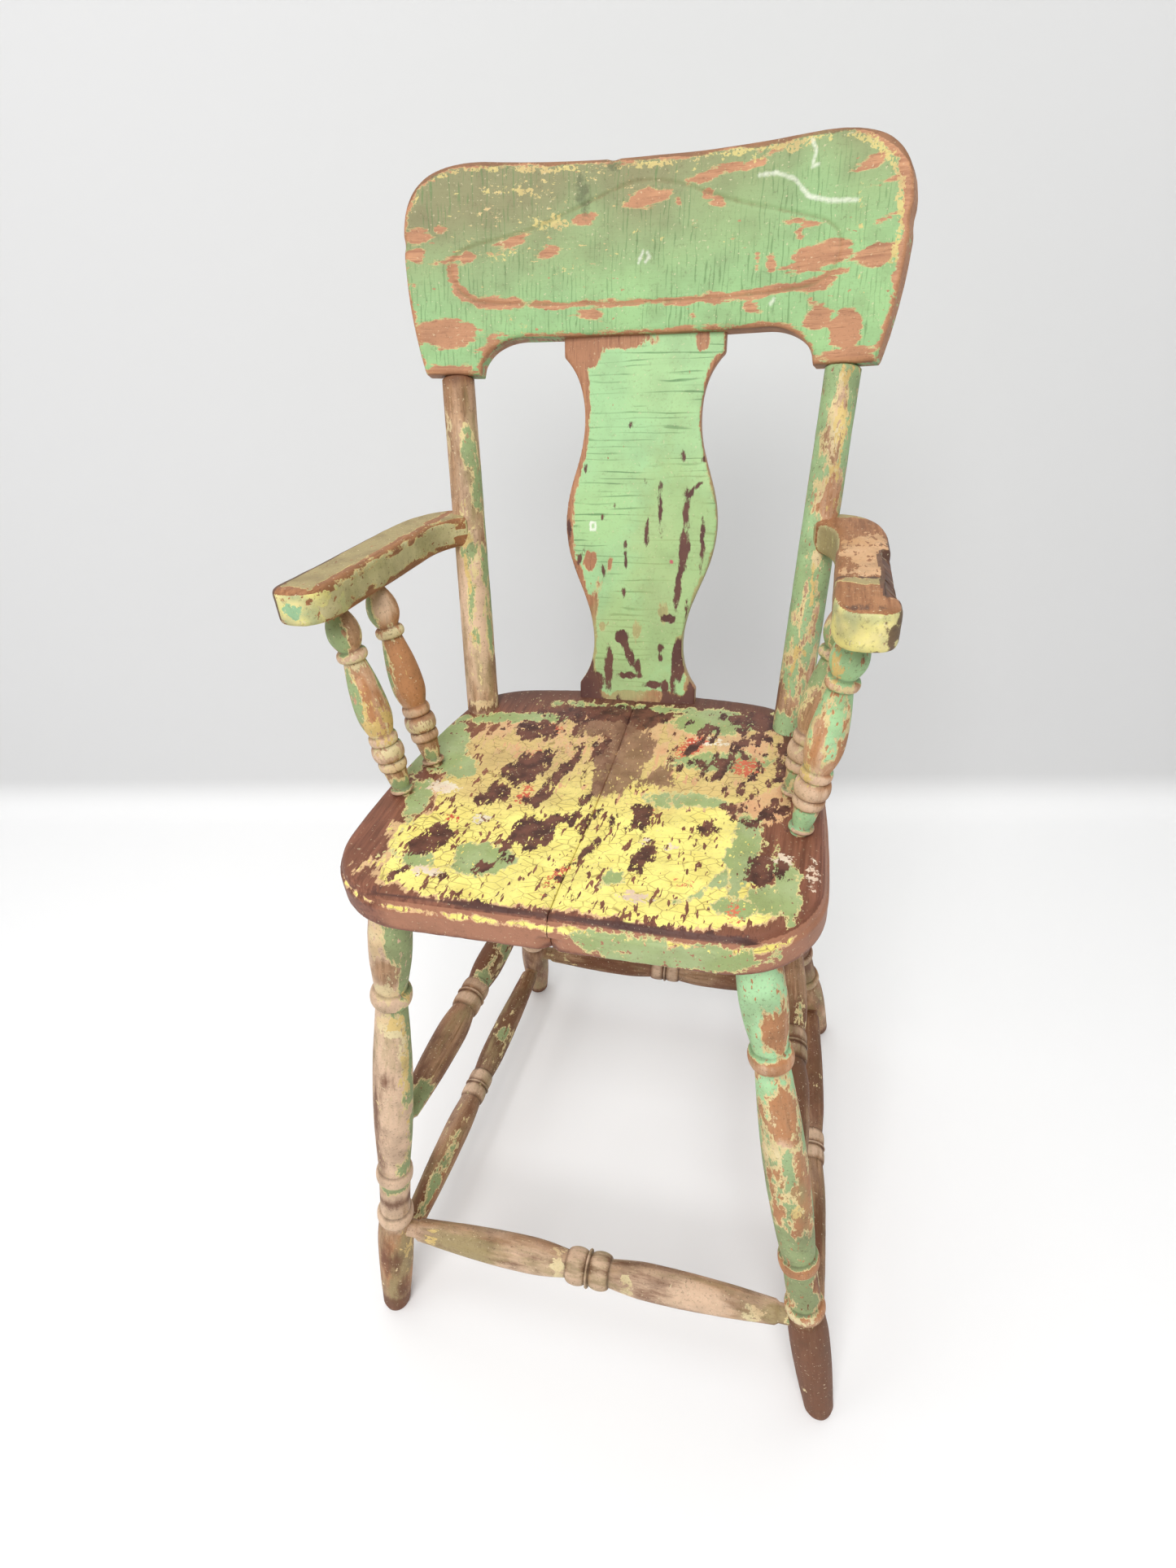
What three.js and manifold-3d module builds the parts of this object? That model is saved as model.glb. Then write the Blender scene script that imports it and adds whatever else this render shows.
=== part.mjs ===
// Child's high armchair in turned and sawn wood, old and worn. A seat of two boards stands on four splayed
// legs tied by six stretchers. Two raked posts and a vase splat carry a bowed crest rail, and each sawn arm
// runs from its post to two turned spindles.
import * as THREE from "three";
import { TessellateModifier } from "three/addons/modifiers/TessellateModifier.js";
import { mergeVertices } from "three/addons/utils/BufferGeometryUtils.js";
import Module from "manifold-3d";

const wasm = await Module();
wasm.setup();

// Driving dimensions in millimetres. The floor is z = 0, x = 0 is the middle of the chair and the chair
// faces -Y. Distances marked "back" run from the front edge of the seat.
const clearance = 0.3; // round each tenon, and between faces that meet
const lead = 10; // how far a boring or sawing tool stands clear of the face it enters
const bigSides = 12; // facets round legs and posts
const smallSides = 10; // facets round stretchers, spindles and pins

const seat = {
  height: 530, // rim above the floor
  thickness: 28,
  halfWidth: 164, // at its widest
  taper: 18, // how much narrower each side is where the rear corners begin
  depth: 288,
  frontCorner: 62, // radius
  rearCornerLength: 52, // rear corners begin this far ahead of the rear edge
  rearCornerWidth: 54,
  cornerTuck: 8, // how far the handle of the rear corner is drawn in
  rearBow: 7, // rise of the shallow rear curve
  roll: 9, // rounding of the upper edge
  step: 1.6, // step under the rounding
  stepHeight: 0.4,
  ease: 2.5, // softened lower edge
};
const dish = { depth: 5, sideMargin: 48, frontMargin: 37, rearMargin: 45 };
const chip = { width: 17, depth: 6, reach: 12 }; // lost corner at the open joint of the two boards

const leg = {
  tenonRadius: 10,
  seatLeft: 11, // wood left over the tenon
  toeRadius: 9,
  toeLength: 5,
  footRadius: 12.6,
  footSwell: 16.2,
  footFullest: 0.78, // share of the foot's length where it is fullest
  ankle: 134, // top of the foot along the leg
  ankleRadius: 14.8,
  footRing: 147,
  footRingRadius: 16.2,
  lowRing: 206,
  lowRingRadius: 15.8,
  vaseRadius: 16,
  vaseFullest: 0.42,
  highRingBelowSeat: 92,
  highRingRadius: 15.5,
  bulbRadius: 15.6,
  bulbFullest: 0.55,
  neckRadius: 11.8,
  waistRadius: 13.2,
  ringLength: 15,
  sawn: 8, // the turning starts this far under the floor and is sawn off level
};
const frontLegs = { inset: 41, back: 31, spread: 79, stride: -50 }; // stride is the foot's run along Y
const rearLegs = { inset: 46, ahead: 60, spread: 84, stride: 170 };

const stretcher = {
  tenonRadius: 7.6,
  standOff: 5.8, // shoulder clear of the leg's fullest radius
  shoulder: 3,
  neckRadius: 9.6,
  waistRadius: 11,
  swellShare: 0.26, // fullest this share of the way from the rings to the leg
  collar: 3, // fine raised line between the two beads
  collarRise: 0.6,
};
const frontStretcher = { height: 125, swell: 14.4, ring: 15.2, ringLength: 38 };
const rearStretcher = { height: 104, swell: 13.6, ring: 13.2, ringLength: 34 };
const lowSideStretcher = { height: 72, swell: 13.2, ring: 12.8, ringLength: 34 };
const highSideStretcher = { height: 250, swell: 14, ring: 13.2, ringLength: 34 };

const post = {
  inset: 18, // from the rear half width of the seat
  ahead: 46, // from the rear edge of the seat
  baseRadius: 13.2,
  topRadius: 12.4,
  seatLeft: 7, // wood left under the socket
  ease: 1.5, // softened edge of the shoulder
  tenonRadius: 6.4,
  tenonDepth: 34,
  spread: 16.4, // how far its top stands out
};
const rake = THREE.MathUtils.degToRad(19.4); // of the posts and the crest

const crest = {
  bottom: 258, // lower ends above the seat, up the rake
  height: 141,
  dip: 2.5, // hollow of the top edge
  archRise: 26,
  archCorner: 36,
  earInside: 19.4, // the lower ends reach this far inside the posts
  earOutside: 23.6, // and this far outside them
  overhang: 37.6, // full width past the posts
  fullest: 92, // height of the full width
  shoulder: 62, // length of the rounded upper corners
  cornerDrop: 13, // handles of those corners
  cornerDraw: 22,
  thickness: 22,
  easing: 4.5,
  bowRadius: 820,
};

const splat = {
  thickness: 11,
  ahead: 15, // from the rear edge of the seat
  topHalf: 61,
  topBand: 13, // straight part under the crest
  neckHalf: 45,
  neck: 56, // below the crest
  bellyHalf: 60.5,
  belly: 140, // above the seat
  waistHalf: 37,
  waist: 47,
  footHalf: 49,
  footBand: 12,
  cove: 14, // height of the hollows over the foot and under the top
  hold: 0.4, // share of each curve's height that its handles take
  tenonHalf: 32,
  tenonDepth: 14,
};

const arm = {
  height: 143, // underside above the seat where the front spindle stands
  thickness: 24,
  rise: 0.0975, // slope up towards the hand
  overhang: 21, // outer edge past the seat's half width
  width: 35,
  front: 76, // back
  innerCorner: 30, // length and width of the rounded inner corner of the hand
  innerCornerWidth: 17,
  outerCorner: 14,
  elbow: 62, // where it starts to curve in to the post, ahead of the post
  elbowDraw: 2, // how far the outer edge draws in by the elbow
  heelWidth: 26,
  easing: 4,
  tenonRadius: 5,
  tenonReach: 24,
  tenonTurn: THREE.MathUtils.degToRad(42.5), // towards the rear
};
// Split outer edge of the right arm, with its widths from the hand to the elbow.
const armBreak = { handWidth: 7.5, middleWidth: 8.6, elbowWidth: 5.2, depth: 10, start: 28, end: 126 };

const spindle = {
  inset: 21, // front spindle from the seat's half width
  rearInset: 29,
  lean: 22, // how far the top stands out
  rearLean: 26,
  back: 111,
  pitch: 40, // front to rear spindle at the seat
  topBack: 116,
  topPitch: 49, // and at the arm
  tenonRadius: 6.2,
  tenonDepth: 14,
  shoulder: 1.6, // clear of the seat and the arm
  footRing: 4,
  footRadius: 8.6,
  neck: 11.5, // above the seat
  neckRadius: 7.4,
  collar: 21.5, // lower rings above the seat
  collarRadius: 8.8,
  ringLength: 8,
  ringRadius: 10.6,
  beadLength: 13,
  beadRadius: 11.8,
  vaseRadius: 12.2,
  vaseFullest: 0.3,
  head: 37.5, // upper ring below the arm
  bulbRadius: 11.4,
  bulbFullest: 0.42,
};

const seatUnderside = seat.height - seat.thickness;
const seatRearHalf = seat.halfWidth - seat.taper;
const up = new THREE.Vector3(0, 1, 0);
const point = (x, y, z) => new THREE.Vector3(x, y, z);

// Half section of a turning, drawn from its lower end: x is the radius and y the distance along the axis.
class Turning {
  constructor(radius) {
    this.path = new THREE.Path();
    this.path.moveTo(0, 0);
    this.path.lineTo(radius, 0);
  }

  to(y, radius) {
    this.path.lineTo(radius, y);
    return this;
  }

  // Swells from where it is to its fullest radius and falls to the end radius.
  belly(y, radius, fullest, share) {
    const pull = { out: 0.55, along: 0.35, flat: 0.4 }; // where the handles lie, as shares of each half
    const start = this.path.currentPoint.clone();
    const middle = start.y + (y - start.y) * share;
    const before = middle - start.y;
    const after = y - middle;
    const rising = start.x + (fullest - start.x) * pull.out;
    const falling = radius + (fullest - radius) * pull.out;
    const risen = middle - before * pull.flat;
    const held = middle + after * pull.flat;
    this.path.bezierCurveTo(rising, start.y + before * pull.along, fullest, risen, fullest, middle);
    this.path.bezierCurveTo(fullest, held, falling, y - after * pull.along, radius, y);
    return this;
  }

  // Round ring that comes back to the radius it left.
  bead(length, fullest) {
    const { x, y } = this.path.currentPoint;
    const pull = (4 * fullest - x) / 3;
    this.path.bezierCurveTo(pull, y, pull, y + length, x, y + length);
    return this;
  }

  geometry(sides) {
    this.path.lineTo(0, this.path.currentPoint.y);
    return new THREE.LatheGeometry(this.path.getPoints(3), sides);
  }
}

// Plain rod about +Y, used to bore sockets.
function rod(radius, low, high, sides) {
  const section = [[0, low], [radius, low], [radius, high], [0, high]];
  return new THREE.LatheGeometry(section.map(([x, y]) => new THREE.Vector2(x, y)), sides);
}

// Stands a geometry that runs up +Y on the line from one point towards another.
function between(geometry, from, to) {
  const mesh = new THREE.Mesh(geometry);
  mesh.position.copy(from);
  mesh.quaternion.setFromUnitVectors(up, to.clone().sub(from).normalize());
  return mesh;
}

// A placed mesh as a solid in the frame of another mesh.
function solidIn(frame, mesh) {
  mesh.updateMatrixWorld(true);
  frame.updateMatrixWorld(true);
  const place = frame.matrixWorld.clone().invert().multiply(mesh.matrixWorld);
  const bare = new THREE.BufferGeometry();
  bare.setAttribute("position", mesh.geometry.getAttribute("position").clone());
  if (mesh.geometry.index) bare.setIndex(mesh.geometry.index.clone());
  const merged = mergeVertices(bare.applyMatrix4(place), 1e-4);
  const vertProperties = merged.getAttribute("position").array;
  const triVerts = new Uint32Array(merged.index.array);
  return new wasm.Manifold(new wasm.Mesh({ numProp: 3, vertProperties, triVerts }));
}

function reshape(mesh, solid) {
  const made = solid.getMesh();
  const geometry = new THREE.BufferGeometry();
  geometry.setAttribute("position", new THREE.BufferAttribute(made.vertProperties, 3));
  geometry.setIndex(new THREE.BufferAttribute(made.triVerts, 1));
  geometry.computeVertexNormals();
  mesh.geometry = geometry;
  return mesh;
}

const cut = (mesh, ...tools) =>
  reshape(mesh, tools.reduce((left, tool) => left.subtract(solidIn(mesh, tool)), solidIn(mesh, mesh)));
const keep = (mesh, tool) => reshape(mesh, solidIn(mesh, mesh).intersect(solidIn(mesh, tool)));
const join = (mesh, tool) => reshape(mesh, solidIn(mesh, mesh).add(solidIn(mesh, tool)));

// Large block with one face through a point, on the side that the normal points to.
function halfSpace(onFace, normal) {
  const size = 4 * (seat.height + seat.depth + seat.halfWidth); // far more than the chair
  const block = new THREE.Mesh(new THREE.BoxGeometry(size, size, size));
  block.quaternion.setFromUnitVectors(up, normal.clone().normalize());
  block.position.copy(onFace).addScaledVector(normal.clone().normalize(), size / 2);
  return block;
}

// Closed skin over rings of equal count, capped at both ends.
function loft(rings) {
  const count = rings[0].length;
  const positions = rings.flat().flatMap((p) => [p.x, p.y, p.z]);
  const faces = [];
  for (let r = 0; r + 1 < rings.length; r++) {
    for (let i = 0; i < count; i++) {
      const a = r * count + i;
      const b = r * count + ((i + 1) % count);
      faces.push(a, b, b + count, a, b + count, a + count);
    }
  }
  const caps = THREE.ShapeUtils.triangulateShape(rings[0].map((p) => new THREE.Vector2(p.x, p.y)), []);
  const last = (rings.length - 1) * count;
  for (const [a, b, c] of caps) faces.push(a, c, b, last + a, last + b, last + c);
  const geometry = new THREE.BufferGeometry();
  geometry.setAttribute("position", new THREE.Float32BufferAttribute(positions, 3));
  geometry.setIndex(faces);
  return geometry;
}

// Outline of the seat seen from above, drawn anticlockwise from the middle of the front edge.
function seatOutline() {
  const { halfWidth, depth, frontCorner, rearCornerLength, rearCornerWidth, cornerTuck, rearBow } = seat;
  const rearEnd = depth - rearBow;
  const rearFlat = seatRearHalf - rearCornerWidth;
  const cornerStart = depth - rearCornerLength;
  const flank = (frontCorner + cornerStart) / 2;
  const half = new THREE.Path();
  half.moveTo(0, 0);
  half.lineTo(halfWidth - frontCorner, 0);
  half.absarc(halfWidth - frontCorner, frontCorner, frontCorner, -Math.PI / 2, 0, false);
  half.quadraticCurveTo(halfWidth, flank, seatRearHalf, cornerStart);
  half.quadraticCurveTo(seatRearHalf - cornerTuck, rearEnd - rearBow, rearFlat, rearEnd);
  half.quadraticCurveTo(rearFlat / 2, depth, 0, depth);
  const right = half.getPoints(5);
  const left = right.slice(1, -1).reverse().map((p) => new THREE.Vector2(-p.x, p.y));
  return [...right, ...left];
}

// The outline drawn in by a distance, at a height.
function insetRing(outline, distance, z) {
  return outline.map((p, i) => {
    const before = outline.at(i - 1);
    const after = outline[(i + 1) % outline.length];
    const along = after.clone().sub(before).normalize();
    return point(p.x - along.y * distance, p.y + along.x * distance, z);
  });
}

// Whole seat with its rolled edge and shallow dish, before it is divided at the glue joint.
function seatBlank() {
  const { thickness, roll, step, stepHeight, ease } = seat;
  const outline = seatOutline();
  const ledge = thickness - roll;
  const rings = [
    insetRing(outline, ease, 0),
    insetRing(outline, 0, ease),
    insetRing(outline, 0, ledge),
    insetRing(outline, step, ledge + stepHeight),
  ];
  const turns = 3; // facets of the rounding
  for (let turn = 1; turn <= turns; turn++) {
    const angle = ((turn / turns) * Math.PI) / 2;
    const inward = step + roll * (1 - Math.cos(angle));
    rings.push(insetRing(outline, inward, ledge + stepHeight + (roll - stepHeight) * Math.sin(angle)));
  }
  const blank = new THREE.Mesh(loft(rings));
  blank.position.z = seatUnderside;
  // The scoop's section has unit radius and depth, and its walls run on past the rim of the seat.
  const [outside, above] = [1.1, 1.3];
  const bowl = new THREE.Path();
  bowl.moveTo(0, 0);
  bowl.bezierCurveTo(0.55, 0, 0.8, 0.55, 1, 1);
  bowl.lineTo(outside, above);
  bowl.lineTo(0, above);
  const halfDepth = (seat.depth - dish.frontMargin - dish.rearMargin) / 2;
  const scoop = new THREE.Mesh(new THREE.LatheGeometry(bowl.getPoints(5), 32).rotateX(Math.PI / 2));
  scoop.scale.set(seat.halfWidth - dish.sideMargin, halfDepth, dish.depth);
  scoop.position.set(0, dish.frontMargin + halfDepth, seat.height - dish.depth);
  return cut(blank, scoop);
}

function seatBoard(side) {
  const board = seatBlank();
  keep(board, halfSpace(point((side * clearance) / 2, 0, 0), point(side, 0, 0)));
  const corner = new THREE.Shape();
  corner.moveTo(0, -clearance);
  corner.lineTo((side * chip.width) / 2, -clearance);
  corner.lineTo(0, chip.depth);
  const wedge = new THREE.ExtrudeGeometry(corner, { depth: chip.reach + clearance, bevelEnabled: false });
  const loss = new THREE.Mesh(wedge);
  loss.position.z = seatUnderside - clearance;
  return cut(board, loss);
}

// Legs. Each axis runs from its foot on the floor to its head at the seat's underside.
const legAxes = {};
for (const side of [-1, 1]) {
  const name = side < 0 ? "left" : "right";
  const frontHead = point(side * (seat.halfWidth - frontLegs.inset), frontLegs.back, seatUnderside);
  const rearBack = seat.depth - rearLegs.ahead;
  const rearHead = point(side * (seatRearHalf - rearLegs.inset), rearBack, seatUnderside);
  const stand = ({ spread, stride }, head) => point(head.x + side * spread, head.y + stride, 0);
  legAxes[`front_${name}_leg`] = { foot: stand(frontLegs, frontHead), head: frontHead };
  legAxes[`rear_${name}_leg`] = { foot: stand(rearLegs, rearHead), head: rearHead };
}
const legTenonDepth = seat.thickness - leg.seatLeft;
const onLeg = (name, z) => {
  const { foot, head } = legAxes[name];
  return foot.clone().lerp(head, z / seatUnderside);
};

function turnedLeg({ foot, head }) {
  const { ringLength, neckRadius, waistRadius, sawn } = leg;
  const length = foot.distanceTo(head) + sawn;
  const splay = Math.hypot(foot.x - head.x, foot.y - head.y) / seatUnderside;
  const shoulder = length - waistRadius * splay - 3 * clearance; // clear of the seat all round
  const highRing = length - leg.highRingBelowSeat;
  const turning = new Turning(leg.toeRadius)
    .to(sawn + leg.toeLength, leg.footRadius)
    .belly(sawn + leg.ankle, leg.ankleRadius, leg.footSwell, leg.footFullest)
    .to(sawn + leg.footRing - ringLength / 2, waistRadius)
    .bead(ringLength, leg.footRingRadius)
    .to(sawn + leg.lowRing - ringLength / 2, waistRadius)
    .bead(ringLength, leg.lowRingRadius)
    .belly(highRing - ringLength / 2, neckRadius, leg.vaseRadius, leg.vaseFullest)
    .bead(ringLength, leg.highRingRadius)
    .belly(shoulder, waistRadius, leg.bulbRadius, leg.bulbFullest)
    .to(shoulder + clearance, leg.tenonRadius)
    .to(length + legTenonDepth, leg.tenonRadius);
  const start = foot.clone().addScaledVector(head.clone().sub(foot).normalize(), -sawn);
  const mesh = between(turning.geometry(bigSides), start, head);
  return keep(mesh, halfSpace(point(0, 0, 0), point(0, 0, 1)));
}

function legSocket({ foot, head }) {
  const length = foot.distanceTo(head);
  const bore = rod(leg.tenonRadius + clearance, length - lead, length + legTenonDepth + clearance, bigSides);
  return between(bore, foot, head);
}

// Stretchers. Each runs between the axes of two legs and its round ends are let into them.
const tenonLength = Math.max(leg.footSwell, leg.vaseRadius) + stretcher.standOff;

function turnedStretcher(from, to, { swell, ring, ringLength }) {
  const { tenonRadius, shoulder, neckRadius, waistRadius, swellShare, collar, collarRise } = stretcher;
  const length = from.distanceTo(to);
  const middle = length / 2;
  const beadLength = (ringLength - collar) / 2;
  const turning = new Turning(tenonRadius)
    .to(tenonLength, tenonRadius)
    .to(tenonLength + shoulder, neckRadius)
    .belly(middle - ringLength / 2, waistRadius, swell, 1 - swellShare)
    .bead(beadLength, ring)
    .bead(collar, ring + collarRise)
    .bead(beadLength, ring)
    .belly(length - tenonLength - shoulder, neckRadius, swell, swellShare)
    .to(length - tenonLength, tenonRadius)
    .to(length, tenonRadius);
  return between(turning.geometry(smallSides), from, to);
}

function stretcherSockets(from, to) {
  const length = from.distanceTo(to);
  const radius = stretcher.tenonRadius + clearance;
  const reach = tenonLength + lead;
  return [
    between(rod(radius, -clearance, reach, smallSides), from, to),
    between(rod(radius, length - reach, length + clearance, smallSides), from, to),
  ];
}

// Back. Heights up the rake start at the seat's rim, on the line of the posts.
const raked = new THREE.Vector3(0, Math.sin(rake), Math.cos(rake));
const rearward = new THREE.Vector3(0, Math.cos(rake), -Math.sin(rake));
const backLine = point(0, seat.depth - post.ahead, seat.height);
const postBase = (side) => backLine.clone().setX(side * (seatRearHalf - post.inset));
const postTop = (side) => {
  const base = postBase(side);
  return base.addScaledVector(raked, crest.bottom).setX(base.x + side * post.spread);
};
const postTopX = seatRearHalf - post.inset + post.spread;
const postSocketDepth = seat.thickness - post.seatLeft;
const crestBow = crest.bowRadius * (1 - Math.cos(postTopX / crest.bowRadius));

function backPost(side) {
  const base = postBase(side);
  const top = postTop(side);
  const shoulder = base.distanceTo(top) - clearance - (post.topRadius * post.spread) / crest.bottom;
  const shoulderAt = postSocketDepth + shoulder;
  const turning = new Turning(post.baseRadius)
    .to(postSocketDepth, post.baseRadius)
    .to(shoulderAt - post.ease, post.topRadius)
    .to(shoulderAt, post.topRadius - post.ease)
    .to(shoulderAt, post.tenonRadius)
    .to(shoulderAt + post.tenonDepth, post.tenonRadius);
  const start = base.clone().addScaledVector(top.clone().sub(base).normalize(), -postSocketDepth);
  return between(turning.geometry(bigSides), start, top);
}

function postSocket(side) {
  const bore = rod(post.baseRadius + clearance, -postSocketDepth - clearance, lead, bigSides);
  return between(bore, postBase(side), postTop(side));
}

// Bore for the tenon at the post's top, in line with the post.
function crestSocket(side) {
  const base = postBase(side);
  const top = postTop(side);
  const length = base.distanceTo(top);
  const end = length + post.tenonDepth + clearance;
  const bore = rod(post.tenonRadius + clearance, length - lead, end, bigSides);
  return between(bore, base, top);
}

function crestOutline() {
  const { height, dip, archRise, archCorner, fullest, shoulder, cornerDrop, cornerDraw } = crest;
  const archHalf = postTopX - crest.earInside;
  const endHalf = postTopX + crest.earOutside;
  const halfWidth = postTopX + crest.overhang;
  const drawn = halfWidth - cornerDraw;
  const flat = archHalf - archCorner;
  const shape = new THREE.Shape();
  shape.moveTo(-flat, archRise);
  shape.lineTo(flat, archRise);
  shape.absellipse(flat, 0, archCorner, archRise, Math.PI / 2, 0, true, 0);
  shape.lineTo(endHalf, 0);
  shape.quadraticCurveTo(halfWidth, fullest / 2, halfWidth, fullest);
  shape.bezierCurveTo(halfWidth, height - cornerDrop, drawn, height, halfWidth - shoulder, height);
  shape.quadraticCurveTo(0, height - 2 * dip, shoulder - halfWidth, height);
  shape.bezierCurveTo(-drawn, height, -halfWidth, height - cornerDrop, -halfWidth, fullest);
  shape.quadraticCurveTo(-halfWidth, fullest / 2, -endHalf, 0);
  shape.lineTo(-archHalf, 0);
  shape.absellipse(-flat, 0, archCorner, archRise, Math.PI, Math.PI / 2, true, 0);
  return shape;
}

// Sawn board bent to the bow, in the raked frame: x across, y up the rake and z to the front.
function crestRail() {
  const { thickness, easing, bowRadius, bottom } = crest;
  const board = new THREE.ExtrudeGeometry(crestOutline(), {
    depth: thickness - 2 * easing,
    bevelThickness: easing,
    bevelSize: easing,
    bevelOffset: -easing,
    bevelSegments: 2,
    curveSegments: 5,
  });
  board.translate(0, 0, easing - thickness / 2);
  const fine = new TessellateModifier(60, 9).modify(board);
  const places = fine.getAttribute("position");
  for (let i = 0; i < places.count; i++) {
    const angle = places.getX(i) / bowRadius;
    const radius = bowRadius - places.getZ(i);
    const front = bowRadius - crestBow - radius * Math.cos(angle);
    places.setXYZ(i, radius * Math.sin(angle), places.getY(i) + bottom, front);
  }
  const mesh = new THREE.Mesh(fine);
  mesh.position.copy(backLine);
  mesh.rotation.x = Math.PI / 2 - rake;
  return mesh;
}

// Splat. Its lower end stands near the seat's rear edge and its upper end in the middle of the crest.
const splatFoot = point(0, seat.depth - splat.ahead, seat.height);
const archHeight = crest.bottom + crest.archRise;
const splatHead = backLine.clone().addScaledVector(raked, archHeight).addScaledVector(rearward, crestBow);
const splatLength = splatFoot.distanceTo(splatHead);
const splatTilt = Math.atan2(splatHead.z - splatFoot.z, splatHead.y - splatFoot.y);

function splatPlate(shape, thickness) {
  const plate = new THREE.ExtrudeGeometry(shape, { depth: thickness, bevelEnabled: false, curveSegments: 5 });
  const mesh = new THREE.Mesh(plate.translate(0, 0, -thickness / 2));
  mesh.position.copy(splatFoot);
  mesh.rotation.x = splatTilt;
  return mesh;
}

function splatOutline() {
  const { topHalf, neckHalf, bellyHalf, belly, waistHalf, waist, footHalf, footBand, cove, hold } = splat;
  const bandEnd = splatLength - splat.topBand;
  const neck = splatLength - splat.neck;
  const edge = new THREE.Path();
  // Curve that leaves and arrives upright.
  const flow = (half, y) => {
    const from = edge.currentPoint.clone();
    const handle = (y - from.y) * hold;
    edge.bezierCurveTo(from.x, from.y + handle, half, y - handle, half, y);
  };
  // Both ends run on by the lead and are sawn off to the seat and to the crest.
  edge.moveTo(footHalf, -lead);
  edge.lineTo(footHalf, footBand);
  edge.quadraticCurveTo(waistHalf, footBand + cove, waistHalf, waist);
  flow(bellyHalf, belly);
  flow(neckHalf, neck);
  edge.quadraticCurveTo(neckHalf, bandEnd - cove, topHalf, bandEnd);
  edge.lineTo(topHalf, splatLength + lead);
  const right = edge.getPoints(5);
  const left = right.map((p) => new THREE.Vector2(-p.x, p.y)).reverse();
  return new THREE.Shape([...right, ...left]);
}

// Tenons at both ends of the splat in one plate, or the mortises that take them when grown.
function splatTenons(grow) {
  const half = splat.tenonHalf + grow;
  const reach = splat.tenonDepth + grow;
  const shape = new THREE.Shape();
  shape.moveTo(-half, -reach);
  shape.lineTo(half, -reach);
  shape.lineTo(half, splatLength + reach);
  shape.lineTo(-half, splatLength + reach);
  return splatPlate(shape, splat.thickness + 2 * grow);
}

function backSplat() {
  const board = splatPlate(splatOutline(), splat.thickness);
  keep(board, halfSpace(point(0, 0, seat.height + clearance), point(0, 0, 1)));
  const underCrest = backLine.clone().addScaledVector(raked, archHeight - clearance);
  keep(board, halfSpace(underCrest, raked.clone().negate()));
  return join(board, splatTenons(0));
}

// Arms and spindles.
const postAt = (side, z) => {
  const base = postBase(side);
  const top = postTop(side);
  return base.clone().lerp(top, (z - base.z) / (top.z - base.z));
};
const armUnderside = (back) => seat.height + arm.height - (back - spindle.topBack) * arm.rise;
const heelBack = postAt(1, seat.height + arm.height).y;
const armOuter = seat.halfWidth + arm.overhang;
const armSlope = new THREE.Matrix4().makeShear(0, 0, 0, -arm.rise, 0, 0);
const heel = (side) => postAt(side, armUnderside(heelBack) + arm.thickness / 2);

function armOutline(side) {
  const outer = armOuter;
  const inner = outer - arm.width;
  const heelAt = heel(1);
  const elbow = heelAt.y - arm.elbow;
  const half = arm.heelWidth / 2;
  const shape = new THREE.Shape();
  shape.moveTo(side * (heelAt.x - half / 3), heelAt.y - half);
  shape.quadraticCurveTo(side * inner, heelAt.y - arm.heelWidth, side * inner, elbow);
  shape.lineTo(side * inner, arm.front + arm.innerCorner);
  shape.quadraticCurveTo(side * inner, arm.front, side * (inner + arm.innerCornerWidth), arm.front);
  shape.lineTo(side * (outer - arm.outerCorner), arm.front);
  shape.quadraticCurveTo(side * outer, arm.front, side * outer, arm.front + arm.outerCorner);
  shape.lineTo(side * (outer - arm.elbowDraw), elbow);
  const handle = heelAt.y + half / 2;
  shape.quadraticCurveTo(side * (outer - arm.elbowDraw), handle, side * (heelAt.x + half), heelAt.y + half);
  return shape;
}

function sawnArm(side) {
  const { thickness, easing } = arm;
  const board = new THREE.ExtrudeGeometry(armOutline(side), {
    depth: thickness - 2 * easing,
    bevelThickness: easing,
    bevelSize: easing,
    bevelOffset: -easing,
    bevelSegments: 2,
    curveSegments: 5,
  });
  // The board is drawn level and sheared by its slope, so that its outline stays true from above.
  board.translate(0, -spindle.topBack, easing).applyMatrix4(armSlope);
  const level = seat.height + arm.height;
  const mesh = new THREE.Mesh(board);
  mesh.position.set(0, spindle.topBack, level);
  const bore = rod(post.baseRadius + clearance, -level, level, bigSides);
  return cut(mesh, between(bore, postBase(side), postTop(side)));
}

// Round pin on the heel of the arm, or the bore that takes it when grown.
function armTenon(side, grow) {
  const centre = heel(side);
  const into = point(-side * Math.cos(arm.tenonTurn), Math.sin(arm.tenonTurn), 0);
  const start = centre.clone().addScaledVector(into, -arm.tenonReach);
  const pin = rod(arm.tenonRadius + grow, 0, arm.tenonReach + grow, smallSides);
  return between(pin, start, centre);
}

function splitEdge() {
  const { handWidth, middleWidth, elbowWidth, depth, start, end } = armBreak;
  const from = arm.front + start;
  const to = arm.front + end;
  const middle = (from + to) / 2;
  const shape = new THREE.Shape();
  shape.moveTo(armOuter + lead, from - lead);
  shape.lineTo(armOuter + lead, to + lead);
  shape.lineTo(armOuter - elbowWidth, to);
  shape.lineTo(armOuter - middleWidth, middle);
  shape.lineTo(armOuter - handWidth, from);
  const loss = new THREE.Mesh(new THREE.ExtrudeGeometry(shape, { depth: depth + lead, bevelEnabled: false }));
  loss.geometry.translate(0, -middle, 0).applyMatrix4(armSlope);
  loss.position.set(0, middle, armUnderside(middle) + arm.thickness - depth);
  return loss;
}

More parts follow.
